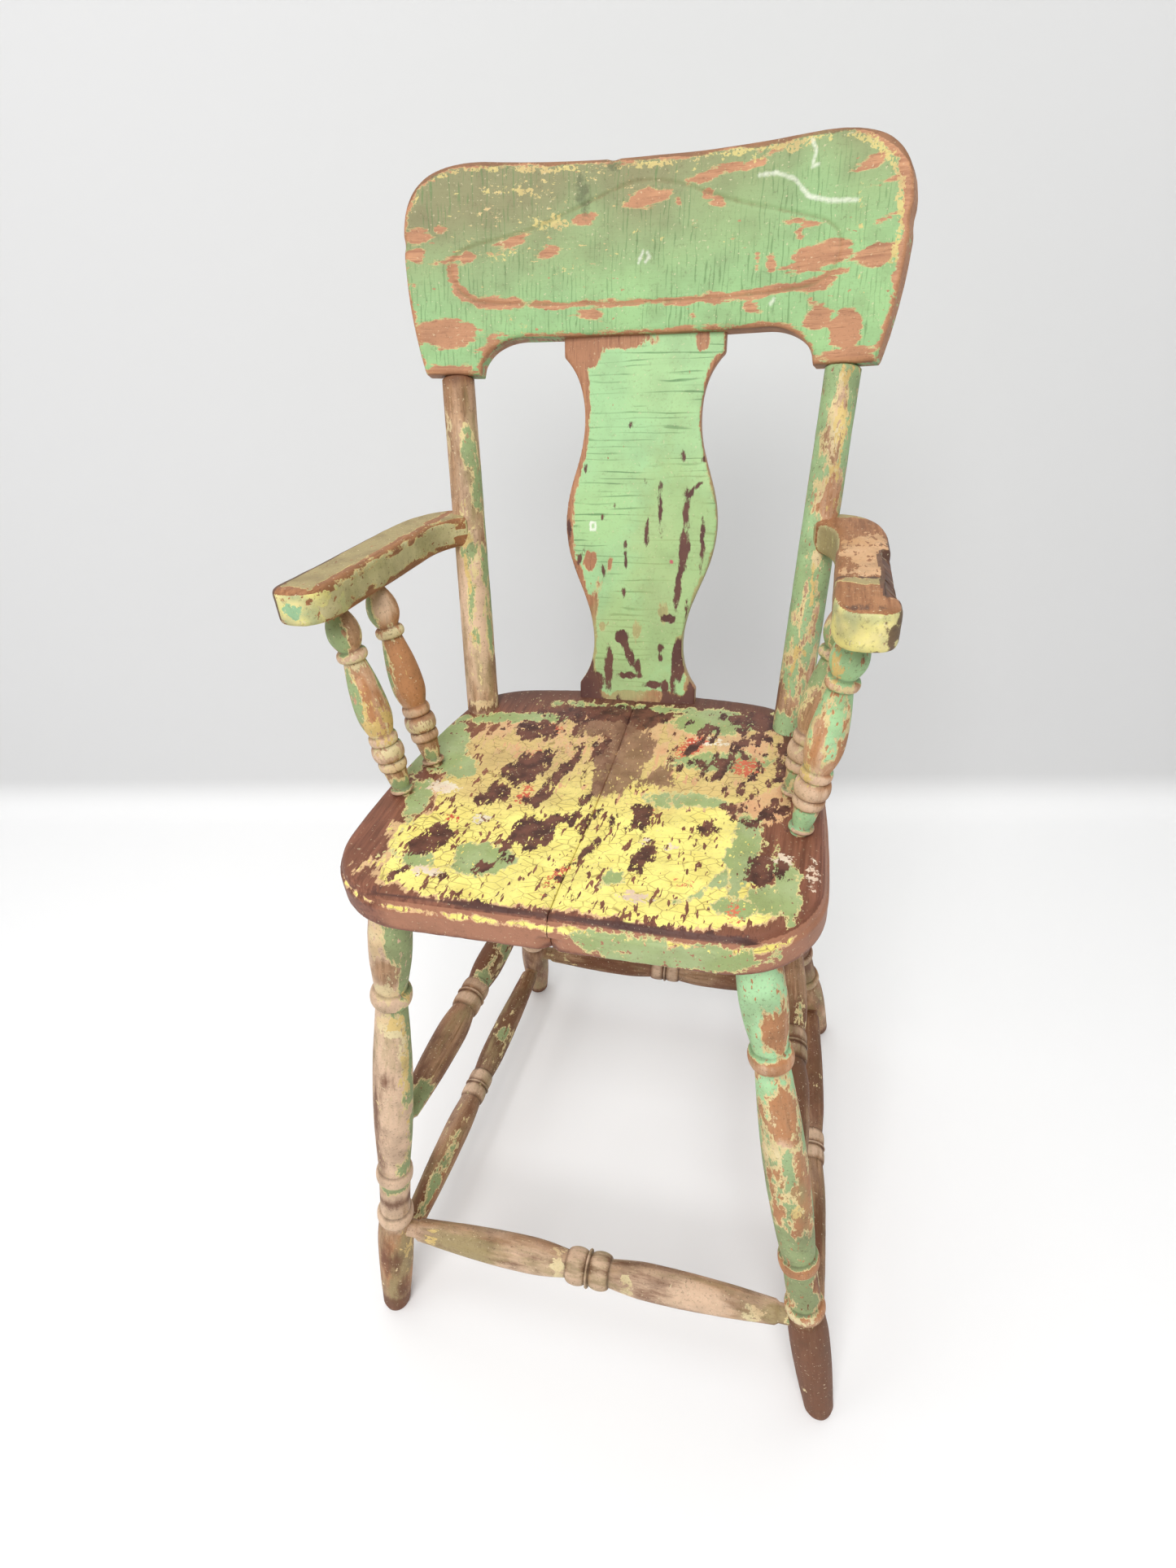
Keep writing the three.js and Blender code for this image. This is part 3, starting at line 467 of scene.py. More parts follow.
seatShape = dict(
    height=530, thickness=28, halfWidth=164, taper=18, depth=288, frontCorner=62,
    rearCornerLength=52, rearCornerWidth=54, cornerTuck=8, rearBow=7, roll=9, step=1.6,
    ease=2.5, joint=0.3, overlap=7, dishDepth=5, dishSide=48, dishFront=37, dishRear=45, dishRim=(6, 1),
    dishPower=2.4, voxel=1.5, wallTurn=(0.25, 0.7), jointTurn=0.3, middle=60, stepBelow=0.8, stepAbove=0.6,
    arris=dict(depth=0.8, below=8, reach=2.2),
    chip=dict(width=17, depth=6, reach=12, rough=(1, 4, 2), wander=(3, 7, 4), soft=1.5),
    waves=[(0.3, 40, 1), (0.14, (5, 14, 5), 3)],
    wear=dict(
        topFace=(5, 2), hidden=40, frontReach=75,
        whole=9, thinning=0.11, thinFrom=122, thinOver=90, frontBare=8, frontRough=(2.5, 25, 8),
        greenFrom=10, greenRough=(4, 14, 7),
        stepHalf=0.8, stepRise=0.9, stepRough=(1.5, 22, 5), stepEnds=2.5, stepFade=(130, 160), stepGain=2.2,
        darkHalf=1.2, darkBack=6.5, darkRough=(1.6, 26, 6), darkLeft=6, darkFade=(60, 110), darkBelow=4,
        lipHalf=2.1, lipBack=4.6, lipWave=(1.3, 45, 14), lipRough=(0.7, 20, 15), lipLeft=1.6,
        lipFade=(50, 110), lipBelow=5, lipReach=60, crackle=(6.5, (6, 9, 6), 21), crackleLoss=1.5,
        pale=9, paleFoot=16, footHeight=7, paleLeft=20, paleFade=(95, 130), paleNone=-9,
        paleRough=(3, 30, 9), rearFrom=140, rearLeft=26, rearFade=(10, 60), rearGain=0.22,
        rearRough=(6, 24, 13), shadow=11, shadowSlope=0.3, shadowRough=(5, 30, 11), shadowBelow=4,
        shadowSides=9, shadowRise=(90, 190), shadowMiddle=-8, shadowFade=(104, 140),
        grime=-16, grimeRear=9, grimeRise=(250, 288), grimeFoot=5, grimeFootHeight=8, grimeJoint=9,
        jointReach=2.4, jointSoft=1.6),
    yellow=[(-10, 66, 120, 56, 2), (-78, 120, 40, 104, 8), (60, 72, 58, 66), (-40, 34, 88, 26, 3),
            (70, 34, 66, 26, 2), (-20, 120, 60, 60), (70, 190, 60, 62), (-60, 190, 60, 42, 15)],
    green=[(-134, 183, 15, 30, 12), (-115, 150, 15, 14), (-128, 104, 8, 26, 14), (-94, 226, 40, 7, 10),
           (-58, 50, 20, 16, 20), (70, 242, 33, 18), (80, 188, 31, 12), (64, 138, 22, 7), (109, 86, 9, 36),
           (128, 40, 12, 14, 20), (112, 30, 12, 7), (31, 46, 7, 8), (138, 50, 8, 26, 10),
           (95, 50, 11, 2.4, 50), (-104, 40, 14, 8), (-150, 150, 5, 20, 10), (20, 255, 60, 5)],
    maroon=[(-34, 84, 17, 18, 20), (-99, 63, 11, 20, -28), (-62, 162, 14, 30, -14), (-77, 124, 9, 18, -28),
            (-17, 240, 52, 16, 4), (-73, 210, 20, 12), (-35, 162, 5.5, 36, -12), (-42, 133, 6, 20, -18),
            (-8, 128, 4, 28, -8), (36, 114, 8, 16), (82, 106, 8, 7), (46, 69, 5, 18, -14),
            (7, 69, 2.6, 18, -14), (-1, 102, 3, 13, -12), (-55, 40, 5, 4), (9, 21, 3.4, 4), (-40, 54, 4, 9),
            (124, 68, 12, 15), (104, 246, 22, 14), (-110, 24, 2.4, 14, -22), (-78, 22, 2, 9, -22),
            (-22, 104, 6, 8), (-46, 72, 5, 10, -20), (140, 200, 8, 30), (-8, 200, 9, 34, -10)],
    edgeGreen=[(48, 15, 30, 7, -6), (84, 11, 40, 10, 4), (110, 15, 20, 9)],
    worn=[(8, 182, 20, 42, -8), (40, 164, 10, 15), (-12, 222, 24, 12)],
    peach=[(60, 195, 62, 50), (-62, 190, 44, 44, 15), (116, 150, 20, 36), (-30, 150, 24, 30),
           (40, 135, 50, 10), (-120, 120, 12, 9)],
    red=[(56, 206, 8, 15, -30), (101, 182, 11, 11), (-54, 129, 5, 10), (-4, 43, 3, 12, -15), (36, 120, 6, 6),
         (-60, 176, 4, 8), (76, 46, 3, 2), (110, 26, 3, 6), (-58, 216, 7, 5), (-96, 88, 5, 3)],
    crackled=[(118, 165, 34, 56), (84, 208, 46, 46), (-44, 214, 34, 20)],
    white=[(-116, 122, 11, 7), (153, 68, 3, 9), (134, 79, 7, 5), (48, 30, 10, 4), (44, 88, 4, 3),
           (62, 84, 3, 3), (-75, 92, 7, 4), (-90, 30, 10, 5), (70, 212, 12, 5)],
)


def seatOutline(side):
    s = seatShape
    outer, corner = s["halfWidth"], s["frontCorner"]
    rearHalf = outer - s["taper"]
    rearEnd = s["depth"] - s["rearBow"]
    rearFlat = rearHalf - s["rearCornerWidth"]
    cornerStart = s["depth"] - s["rearCornerLength"]
    flank = (corner + cornerStart) / 2
    straight = outer - corner
    inner = -s["overlap"]  # sawn over the joint, then planed back to it
    points = [(inner, 0)] + curveOf((inner, 0), (straight, 0), count=30)
    for turn in np.linspace(0, math.pi / 2, 33)[1:]:
        points.append((straight + corner * math.sin(turn), corner * (1 - math.cos(turn))))
    points += curveOf((outer, corner), (outer, flank), (rearHalf, cornerStart), count=50)
    tuck = (rearHalf - s["cornerTuck"], rearEnd - s["rearBow"])
    points += curveOf((rearHalf, cornerStart), tuck, (rearFlat, rearEnd), count=26)
    points += curveOf((rearFlat, rearEnd), (rearFlat / 2, s["depth"]), (inner, s["depth"]), count=26)
    return np.array([(side * x, y) for x, y in (points if side > 0 else points[::-1])])


def seatBoard(side, node, finish):
    s = seatShape
    thickness, arris, chip = s["thickness"], s["arris"], s["chip"]

    def onRim(ends):  # the joint's own edges stay sharp
        return not np.all(abs(ends[:, 0] + side * s["overlap"]) < 0.1)

    rims = [(thickness, s["roll"], 5), (0, s["ease"], 2)]
    plank = node.replace("board", "plank")
    board = sawnBoard(plank, seatOutline(side), thickness, rims, s["voxel"], 3, onRim)
    co = places(board)
    # planed to the joint, whose upper arris has worn round
    worn = arris["depth"] * fade(co[:, 2], thickness - arris["below"], thickness)
    co[:, 0] = side * np.maximum(side * co[:, 0], s["joint"] / 2)
    x, back, up = co.T.copy()
    co[:, 2] -= worn * fade(arris["reach"] - abs(x), 0, arris["reach"])
    # stepped line under the rounded edge, drawn in along the outline's own normal
    normals = normalsOf(board)
    onOutline = abs(normals[:, 1]) + (abs(x) > s["middle"]) > s["jointTurn"]  # not in the joint
    wall = fade(np.hypot(normals[:, 0], normals[:, 1]), *s["wallTurn"]) * onOutline
    ledge = thickness - s["roll"]
    drawn = wall * fade(up, ledge - s["stepBelow"], ledge + s["stepAbove"]) * s["step"]
    co -= normals * [1, 1, 0] * drawn[:, None]
    # the front corner broken off beside the open joint
    lost = (1 - abs(x) / (chip["width"] / 2)) * chip["depth"] + lumps(co, chip["rough"])
    lost *= fade(chip["reach"] + lumps(co, chip["wander"]) - up, -chip["soft"], chip["soft"])
    co[:, 1] = np.maximum(co[:, 1], np.clip(lost, 0, None))
    # hollow for sitting, and the unevenness of an old plank
    length = s["depth"] - s["dishFront"] - s["dishRear"]
    across = x / (s["halfWidth"] - s["dishSide"])
    radius = np.hypot(across, (back - s["dishFront"] - length / 2) / length * 2)
    top = fade(up, thickness - s["dishRim"][0], thickness - s["dishRim"][1])
    co[:, 2] -= top * s["dishDepth"] * (1 - np.clip(radius, 0, 1) ** s["dishPower"])
    co += normals * unevenness(co, s["waves"])
    movePlaces(board, co)
    keepFields(board, np.column_stack([x, back, up]), seatWear(co, x, back, up))
    placing = Matrix.Translation((0, seatFront, s["height"] - thickness))
    return finishPiece(board, node, finish, placing)


def seatWear(co, x, back, up):
    s, w, thickness = seatShape, seatShape["wear"], seatShape["thickness"]
    onTop = fade(up, thickness - w["topFace"][0], thickness - w["topFace"][1])
    off = -w["hidden"] * (1 - onTop)
    onFront = (onTop < 0.7) & (back < w["frontReach"])
    thin = w["thinning"] * np.clip(back - w["thinFrom"], 0, w["thinOver"])  # breaks up towards the rear
    bareFront = back - w["frontBare"] + lumps(co, w["frontRough"])
    yellow = np.minimum.reduce([inSpots(x, back, s["yellow"]) + off, w["whole"] - thin, bareFront])
    # the front edge keeps a band of green to the right and a pale line in the step
    edgeGreen = inSpots(x, up, s["edgeGreen"]) + lumps(co, w["greenRough"])
    edgeGreen = np.where(onFront & (x > w["greenFrom"]), edgeGreen, noPaint)
    stepLine = w["stepHalf"] - abs(up - (thickness - s["roll"]) - w["stepRise"]) + lumps(co, w["stepRough"])
    stepLine -= w["stepEnds"] * fade(abs(x), *w["stepFade"])
    frontDark = w["darkHalf"] - abs(back - w["darkBack"]) + lumps(co, w["darkRough"])
    frontDark -= w["darkLeft"] * fade(-x, *w["darkFade"])
    frontDark = np.where(up > thickness - w["darkBelow"], frontDark, noPaint)
    lip = w["lipHalf"] - abs(back - w["lipBack"] - lumps(co, w["lipWave"])) + lumps(co, w["lipRough"])
    lip -= w["lipLeft"] * fade(-x, *w["lipFade"])
    # dark fragments in the crackled corner and along the rear
    crackle = np.minimum(inSpots(x, back, s["crackled"]), lumps(co, w["crackle"]) - w["crackleLoss"])
    # paler wood round the edge; painted shade darkens the wood at the rear and the sides
    pale = w["pale"] - w["paleFoot"] * fade(w["footHeight"] - up, 0, w["footHeight"])
    pale = np.where(onTop < 0.5, pale - w["paleLeft"] * fade(-x, *w["paleFade"]), w["paleNone"])
    rear = (back - w["rearFrom"] + w["rearLeft"] * fade(-x, *w["rearFade"])) * w["rearGain"]
    shadow = w["shadow"] - w["shadowSlope"] * (s["depth"] - back) + lumps(co, w["shadowRough"])
    shadow -= w["shadowBelow"] * (1 - onTop)
    sides = fade(abs(x - w["shadowMiddle"]), *w["shadowFade"])
    shadow += w["shadowSides"] * fade(back, *w["shadowRise"]) * sides
    # darker along the rear of the top and at the foot of the rim, with dirt in the joint between the boards
    grime = w["grime"] + w["grimeRear"] * fade(back, *w["grimeRise"]) * onTop
    grime += w["grimeFoot"] * fade(w["grimeFootHeight"] - up, 0, w["grimeFootHeight"])
    grime += w["grimeJoint"] * fade(w["jointReach"] - abs(x), 0, w["jointSoft"]) * onTop
    fields = {name: inSpots(x, back, s[name]) + off for name in ("worn", "peach", "red", "white")}
    return fields | dict(
        yellow=np.maximum(yellow, np.where(onFront, stepLine * w["stepGain"], noPaint)),
        green=np.maximum(inSpots(x, back, s["green"]) + off, edgeGreen),
        maroon=np.maximum.reduce([inSpots(x, back, s["maroon"]) + off, crackle + off, frontDark]),
        lip=np.where((up > thickness - w["lipBelow"]) & (back < w["lipReach"]), lip, noPaint),
        edge=pale + lumps(co, w["paleRough"]), rear=rear + lumps(co, w["rearRough"]),
        shadow=shadow, grime=grime)


def seatFinish():
    f = Finish("seat_paint_layers")
    colour, height = f.wood(dict(dark="#6C4031", light="#95604A", tint="#80503C", pore="#482C22",
                                 grain=3, stretch=(1, 18, 1)))
    colour = f.stain(colour, f.attribute("edge"), 0.2, 0.9, 0.8, "#B47E62")
    # painted shade at the rear and the sides
    colour = f.stain(colour, f.attribute("shadow"), 0.1, 0.9, 0.8, "#52382F")
    along = (1, 2.4, 1)
    colour, height = f.coats(colour, height, (
        dict(field="peach", colour="#E0AC80", second="#D8B886", size=9, ragged=0.7, shift=1.0, stretch=along,
             chips=(4, 0.6)),
        dict(field="yellow", colour="#FBEE8A", second="#F0E07C", size=11, ragged=0.6, shift=3.0, mottle=18,
             stretch=along, detail=5, rim=("#DDB587", 0.12), chips=(3.6, 0.6), chipStretch=(1, 3.6, 1),
             thick=0.8, tone=("rear", "#D9BC7E"), net=(6.5, (1.6, 1, 1), 0.05, "#8C6E3E", 0.75)),
        dict(field="green", colour="#9CAC70", second="#A9B884", size=9, ragged=0.75, shift=2.0,
             stretch=(1, 1.6, 1), mottle=30, detail=5, rim=("#DCCF90", 0.1), chips=(3.2, 0.64), thick=0.5),
        dict(field="white", colour="#EFE4CC", second="#E8CBB2", size=5, ragged=0.5, shift=4.0,
             chips=(3, 0.58)),
        dict(field="red", colour="#C9553F", second="#DA7C5A", size=4, ragged=0.6, shift=5.0,
             chips=(2.5, 0.55)),
        dict(field="maroon", colour="#74493C", second="#4A2D28", size=7.5, ragged=0.85, shift=6.0,
             stretch=(1, 2.2, 1), detail=6, mottle=10, chips=(2.6, 0.63), thick=-0.7),
        dict(field="lip", colour="#5C382F", second="#4C2E28", size=14, ragged=0.14, shift=8.0,
             stretch=(4, 1, 1), crisp=0.05, thick=-0.6),
        dict(field="worn", colour="#97725A", second="#7E5A46", size=9, ragged=0.9, shift=7.0, stretch=along,
             detail=6, mottle=12, chips=(3, 0.64), cover=0.9),
    ))
    return f.finish(colour, height, rough=0.5, soil=0.36)


seatPaint = seatFinish()
for side, node in ((-1, "seat_board_left"), (1, "seat_board_right")):
    seatBoard(side, node, seatPaint)
print("seat boards done")

# Crest rail

crestShape = dict(
    bottom=258, height=141, dip=2.5, archRise=26, archCorner=36, archHalf=125, endHalf=168, halfWidth=182,
    fullest=92, shoulder=62, cornerDrop=13, cornerDraw=22, thickness=22, easing=3.4, bowRadius=820,
    voxel=1.25, grooveWidth=1.3, grooveDepth=1.1, grooveSoft=0.3, nickDepth=1.1, nickSoft=2.5,
    nicks=[(-24, 140, 6, 4), (62, 141, 5, 2), (-181, 88, 3, 7), (182, 84, 3, 9)],
    waves=[(0.35, 45, 3), (0.1, (16, 5, 5), 5)],
    wear=dict(
        topBand=(96, 122), greenGain=1.5, behind=6, behindRough=(9, (50, 20, 30), 9), backBand=3,
        backRough=(4, 20, 8), band=2.0, bandAbove=2.4, bandRight=4.5, bandRough=(1.6, 26, 4),
        rightEnd=(140, 176), rightRise=(30, 70), creamLess=3, creamNone=-9, lineHalf=0.9, lineRight=1.6,
        lineEnd=(110, 160), lineGap=1.4, lineRough=(1.5, 18, 2), lineGain=2, lineOut=150, lineUp=58,
        rubReach=3.2, rubGain=2, rubBelow=8, rubRough=(3, 18, 6),
        tone=-0.3, toneAcross=0.03, toneRise=0.19, toneLevel=92, toneRough=(5, 40, 7),
        fleck=-5.7, fleckAcross=0.02, fleckMiddle=-50, fleckRise=0.04, fleckLevel=90,
        fleckRough=(3.5, 30, 12), fleckBehind=8, grooveLess=0.9,
        grime=-15, grimeRim=4, rimTurn=(0.2, 0.75), grimeEdge=3, edgeReach=10, grimeUnder=12,
        underTurn=(0.5, 0.95)),
    groove=[(0, 46), (117, 47), (134, 56), (139, 74), (132, 85), (118, 91), (63, 105), (23, 120), (-8, 124),
            (-30, 116), (-60, 105), (-91, 94), (-136, 86), (-147, 76), (-146, 64), (-134, 51), (-113, 48),
            (0, 46)],
    bare=[(0, 112, 16, 6, 10), (45, 123, 12, 4.5, 12), (60, 126, 6, 2.6, 10), (79, 127, 10, 3, 20),
          (44, 112, 3.2, 3), (52, 106, 4, 2.4, -40), (-44, 100, 9.5, 5), (-100, 89, 13, 4, 20),
          (-71, 82, 7, 4, 10), (-171, 94, 11, 6), (-173, 82, 9, 6), (-155, 98, 4, 2.4),
          (-149, 77, 10, 2.8, 8), (-134, 79, 6, 3.5, 35), (-153, 29, 26, 10), (-148, 2, 26, 5),
          (-116, 20, 11, 3.4, 20), (126, 67, 20, 9, 10), (112, 61, 10, 4), (120, 41, 4, 2),
          (82, 67, 1.6, 5.4), (91, 66, 2.6, 5), (163, 64, 14, 7, 8), (155, 118, 10, 4, 15),
          (168, 106, 11, 1.6, 8), (168, 86, 10, 2.4, 12), (181, 86, 6, 10), (127, 29, 11, 6.5),
          (146, 20, 12, 13), (150, 4, 22, 7), (-38, 40, 12, 3.4, -8), (80, 38, 5, 2.6, -15),
          (38, 37, 2.6, 2.4), (35, 95, 3.4, 2), (24, 108, 3, 3.5), (63, 84, 2.4, 2.4), (110, 81, 2.2, 5),
          (114, 87, 9, 1.6, -10), (130, 51, 12, 4, 25), (-175, 60, 2, 3), (18, 27, 72, 2.2),
          (-62, 26.5, 64, 1.6), (180, 40, 5, 14)],
    bareLines=[(4.2, (-145, 72), (-143, 62), (-136, 54)), (3.6, (-136, 54), (-126, 50), (-100, 48)),
               (3.0, (-106, 48.5), (-78, 47.2)), (2.5, (-80, 47.2), (-58, 46.5)),
               (2.0, (-62, 46.5), (20, 46.5)), (2.3, (10, 46.5), (50, 46)),
               (3.4, (45, 46), (85, 48), (122, 50)), (3.2, (118, 50), (134, 56))],
    green=[(127, 12, 10, 6, 15), (-150, 14, 18, 3.2, 4), (-125, 10, 8, 6, 50)],
    cream=[(-88, 121, 18, 5), (-37, 132, 9, 4), (-108, 80, 17, 3.5, 6), (-5, 94, 7, 2.4, 40),
           (-26, 106, 12, 2, 25), (-99, 38, 14, 3, -40), (-118, 122, 13, 2, -25), (-112, 54, 3, 6, 40),
           (-60, 112, 2, 9), (20, 132, 60, 2), (10, 86, 5, 3), (150, 80, 2, 26, 6), (170, 112, 2, 22, 12),
           (95, 130, 60, 2, 4), (-70, 100, 20, 7)],
    smudge=[(-46, 117, 3.4, 10, 12), (-24, 134, 5, 3)],
    white=[(1.2, (80, 119), (92, 119), (104, 114), (114, 103), (128, 99), (146, 97)),
           (0.9, (114, 135), (117, 129), (115, 120), (119, 121)), (0.8, (-4, 72), (-1, 79)),
           (0.8, (1, 72), (4, 75), (2, 78)), (1.0, (93, 40), (95, 43))],
)
backShape = dict(postBack=242, rake=math.radians(19.4), postTopX=144.4, baseX=128)


def nearEdge(u, v, outline):  # distance to the outline's points
    edge = np.full(len(u), np.inf)
    for pointU, pointV in outline:
        edge = np.minimum(edge, (u - pointU) ** 2 + (v - pointV) ** 2)
    return np.sqrt(edge)


def rounded(points, times=2):  # corners of a drawn line cut off
    for _ in range(times):
        cut = [points[0]]
        for (u0, v0), (u1, v1) in zip(points, points[1:]):
            cut += [(0.75 * u0 + 0.25 * u1, 0.75 * v0 + 0.25 * v1)]
            cut += [(0.25 * u0 + 0.75 * u1, 0.25 * v0 + 0.75 * v1)]
        points = cut + [points[-1]]
    return points


def crestOutline():
    c = crestShape
    flat = c["archHalf"] - c["archCorner"]
    wide, head = c["halfWidth"], c["height"]
    drawn, upper = wide - c["cornerDraw"], wide - c["shoulder"]
    half = [(0, c["archRise"])] + curveOf((0, c["archRise"]), (flat, c["archRise"]), count=24)
    for turn in np.linspace(math.pi / 2, 0, 25)[1:]:
        half.append((flat + c["archCorner"] * math.cos(turn), c["archRise"] * math.sin(turn)))
    half += curveOf((c["archHalf"], 0), (c["endHalf"], 0), count=12)
    half += curveOf((c["endHalf"], 0), (wide, c["fullest"] / 2), (wide, c["fullest"]), count=30)
    shoulder = [(wide, c["fullest"]), (wide, head - c["cornerDrop"]), (drawn, head), (upper, head)]
    half += curveOf(*shoulder, count=34)
    half += curveOf((upper, head), (upper / 2, head - c["dip"]), (0, head - c["dip"]), count=34)
    return np.array(half + [(-x, y) for x, y in half[-2:0:-1]])


def crestRail(finish):
    c = crestShape
    rims = [(c["thickness"], c["easing"], 4), (0, c["easing"], 4)]
    rail = sawnBoard("crest_board", crestOutline(), c["thickness"], rims, c["voxel"])
    co = places(rail)
    normals = normalsOf(rail)
    u, v, w = co.T.copy()
    front = fade(normals[:, 2], *faceTurn)
    inGroove = inStrokes(u, v, [(c["grooveWidth"], *rounded(c["groove"]))])
    co[:, 2] -= front * c["grooveDepth"] * fade(inGroove, -c["grooveSoft"], c["grooveWidth"])
    co += normals * unevenness(co, c["waves"])
    co -= normals * (c["nickDepth"] * fade(inSpots(u, v, c["nicks"]), 0, c["nickSoft"]))[:, None]
    # bend to the bow
    depth = co[:, 2] - c["thickness"] / 2
    angle = co[:, 0] / c["bowRadius"]
    radius = c["bowRadius"] - depth
    bow = c["bowRadius"] * math.cos(backShape["postTopX"] / c["bowRadius"])
    bowed = [radius * np.sin(angle), co[:, 1] + c["bottom"], bow - radius * np.cos(angle)]
    movePlaces(rail, np.column_stack(bowed))
    keepFields(rail, np.column_stack([u, v, w]), crestWear(co, u, v, normals, front, inGroove))
    placing = Matrix.Translation((0, backShape["postBack"] + seatFront, seatShape["height"]))
    placing = placing @ Matrix.Rotation(math.pi / 2 - backShape["rake"], 4, "X")
    return finishPiece(rail, "crest_rail", finish, placing)


def crestWear(co, u, v, normals, front, inGroove):
    c, w = crestShape, crestShape["wear"]
    onFront = front > 0.5
    edge = nearEdge(u, v, crestOutline())
    above = fade(v, *w["topBand"])
    paint = np.minimum(-inSpots(u, v, c["bare"]), -inStrokes(u, v, c["bareLines"]))
    paint = np.maximum(paint, inSpots(u, v, c["green"]) * w["greenGain"])
    behind = w["behind"] + lumps(co, w["behindRough"])
    paint = front * paint + (1 - front) * behind
    # bare round the rim, wider along the top and at the right end, with a cream line inside it
    atRight = w["bandRight"] * fade(u, *w["rightEnd"]) * fade(v, *w["rightRise"])
    band = w["band"] + w["bandAbove"] * above + atRight + lumps(co, w["bandRough"])
    backBand = w["backBand"] + lumps(co, w["backRough"])
    paint = np.minimum(paint, edge - np.where(onFront, band, backBand))
    line = w["lineHalf"] + w["lineRight"] * fade(u, *w["lineEnd"]) - abs(edge - band - w["lineGap"])
    line = (line + lumps(co, w["lineRough"])) * w["lineGain"]
    lined = (front > 0.3) & ((above > 0.4) | (u > w["lineOut"]) & (v > w["lineUp"]))
    cream = np.where(onFront, inSpots(u, v, c["cream"]) - w["creamLess"], w["creamNone"])
    tone = w["tone"] - w["toneAcross"] * u + w["toneRise"] * (v - w["toneLevel"])
    fleck = w["fleck"] - w["fleckAcross"] * abs(u - w["fleckMiddle"])
    fleck = fleck + w["fleckRise"] * (v - w["fleckLevel"]) + lumps(co, w["fleckRough"])
    fleck = fleck - w["fleckBehind"] * (1 - front)
    rub = (w["rubReach"] - edge) * w["rubGain"] - w["rubBelow"] * (1 - above)
    grime = w["grime"] + w["grimeRim"] * fade(1 - abs(normals[:, 2]), *w["rimTurn"])
    grime += w["grimeEdge"] * fade(w["edgeReach"] - edge, 0, w["edgeReach"])
    # painted shade on faces that look down, under the arch and the rail
    grime += w["grimeUnder"] * fade(-normals[:, 1], *w["underTurn"])
    return dict(
        paint=paint, cream=np.maximum(cream, np.where(lined, line, w["creamNone"])),
        white=np.where(onFront, inStrokes(u, v, c["white"]), noPaint),
        smudge=np.where(onFront, inSpots(u, v, c["smudge"]), noPaint),
        groove=np.where(onFront, inGroove - w["grooveLess"], noPaint),
        rub=rub + lumps(co, w["rubRough"]), tone=tone + lumps(co, w["toneRough"]), fleck=fleck, grime=grime)


def crestFinish():
    f = Finish("crest_paint_layers")
    colour, height = f.wood(dict(dark="#AE7A5A", light="#CB966F", tint="#BF8A66", pore="#865A40",
                                 grain=2.5, stretch=(14, 1, 1)))
    grain = (2.8, 1, 1)
    colour, height = f.coats(colour, height, (
        dict(field="paint", colour="#9EC688", second="#97BE84", size=6, stretch=grain, ragged=0.36,
             shift=1.0, mottle=60, detail=5, rim=("#DCC890", 0.04), chips=(3.5, 0.7),
             tone=("tone", "#918F67"), thick=0.8, cracks=(3.4, "X", 4.5, 0.6, "#628450", 0.6)),
        dict(field="fleck", colour="#DCCB84", second="#DDBE8C", size=2.8, ragged=0.85, shift=2.0,
             stretch=(2.2, 1, 1)),
        dict(field="cream", colour="#DCCB82", second="#D6BA80", size=5, ragged=0.6, shift=3.0,
             chips=(2.5, 0.56), cover=0.85),
        dict(field="rub", colour="#7C5A42", second="#8E6648", size=8, ragged=0.3, shift=8.0, stretch=grain,
             cover=0.8),
        dict(field="groove", colour="#7E8454", second="#9A7A54", size=12, ragged=0.12, shift=4.0, cover=0.55,
             crisp=0.06),
        dict(field="smudge", colour="#5C6446", size=6, ragged=0.4, shift=5.0, crisp=0.12, cover=0.7),
        dict(field="white", colour="#E9EBDA", second="#DDE2CC", size=4, ragged=0.09, shift=6.0, crisp=0.06,
             cover=0.8),
    ))
    return f.finish(colour, height, rough=0.55, soil=0.38, dust=0.5)


crestRail(crestFinish())
print("crest rail done")

# Splat

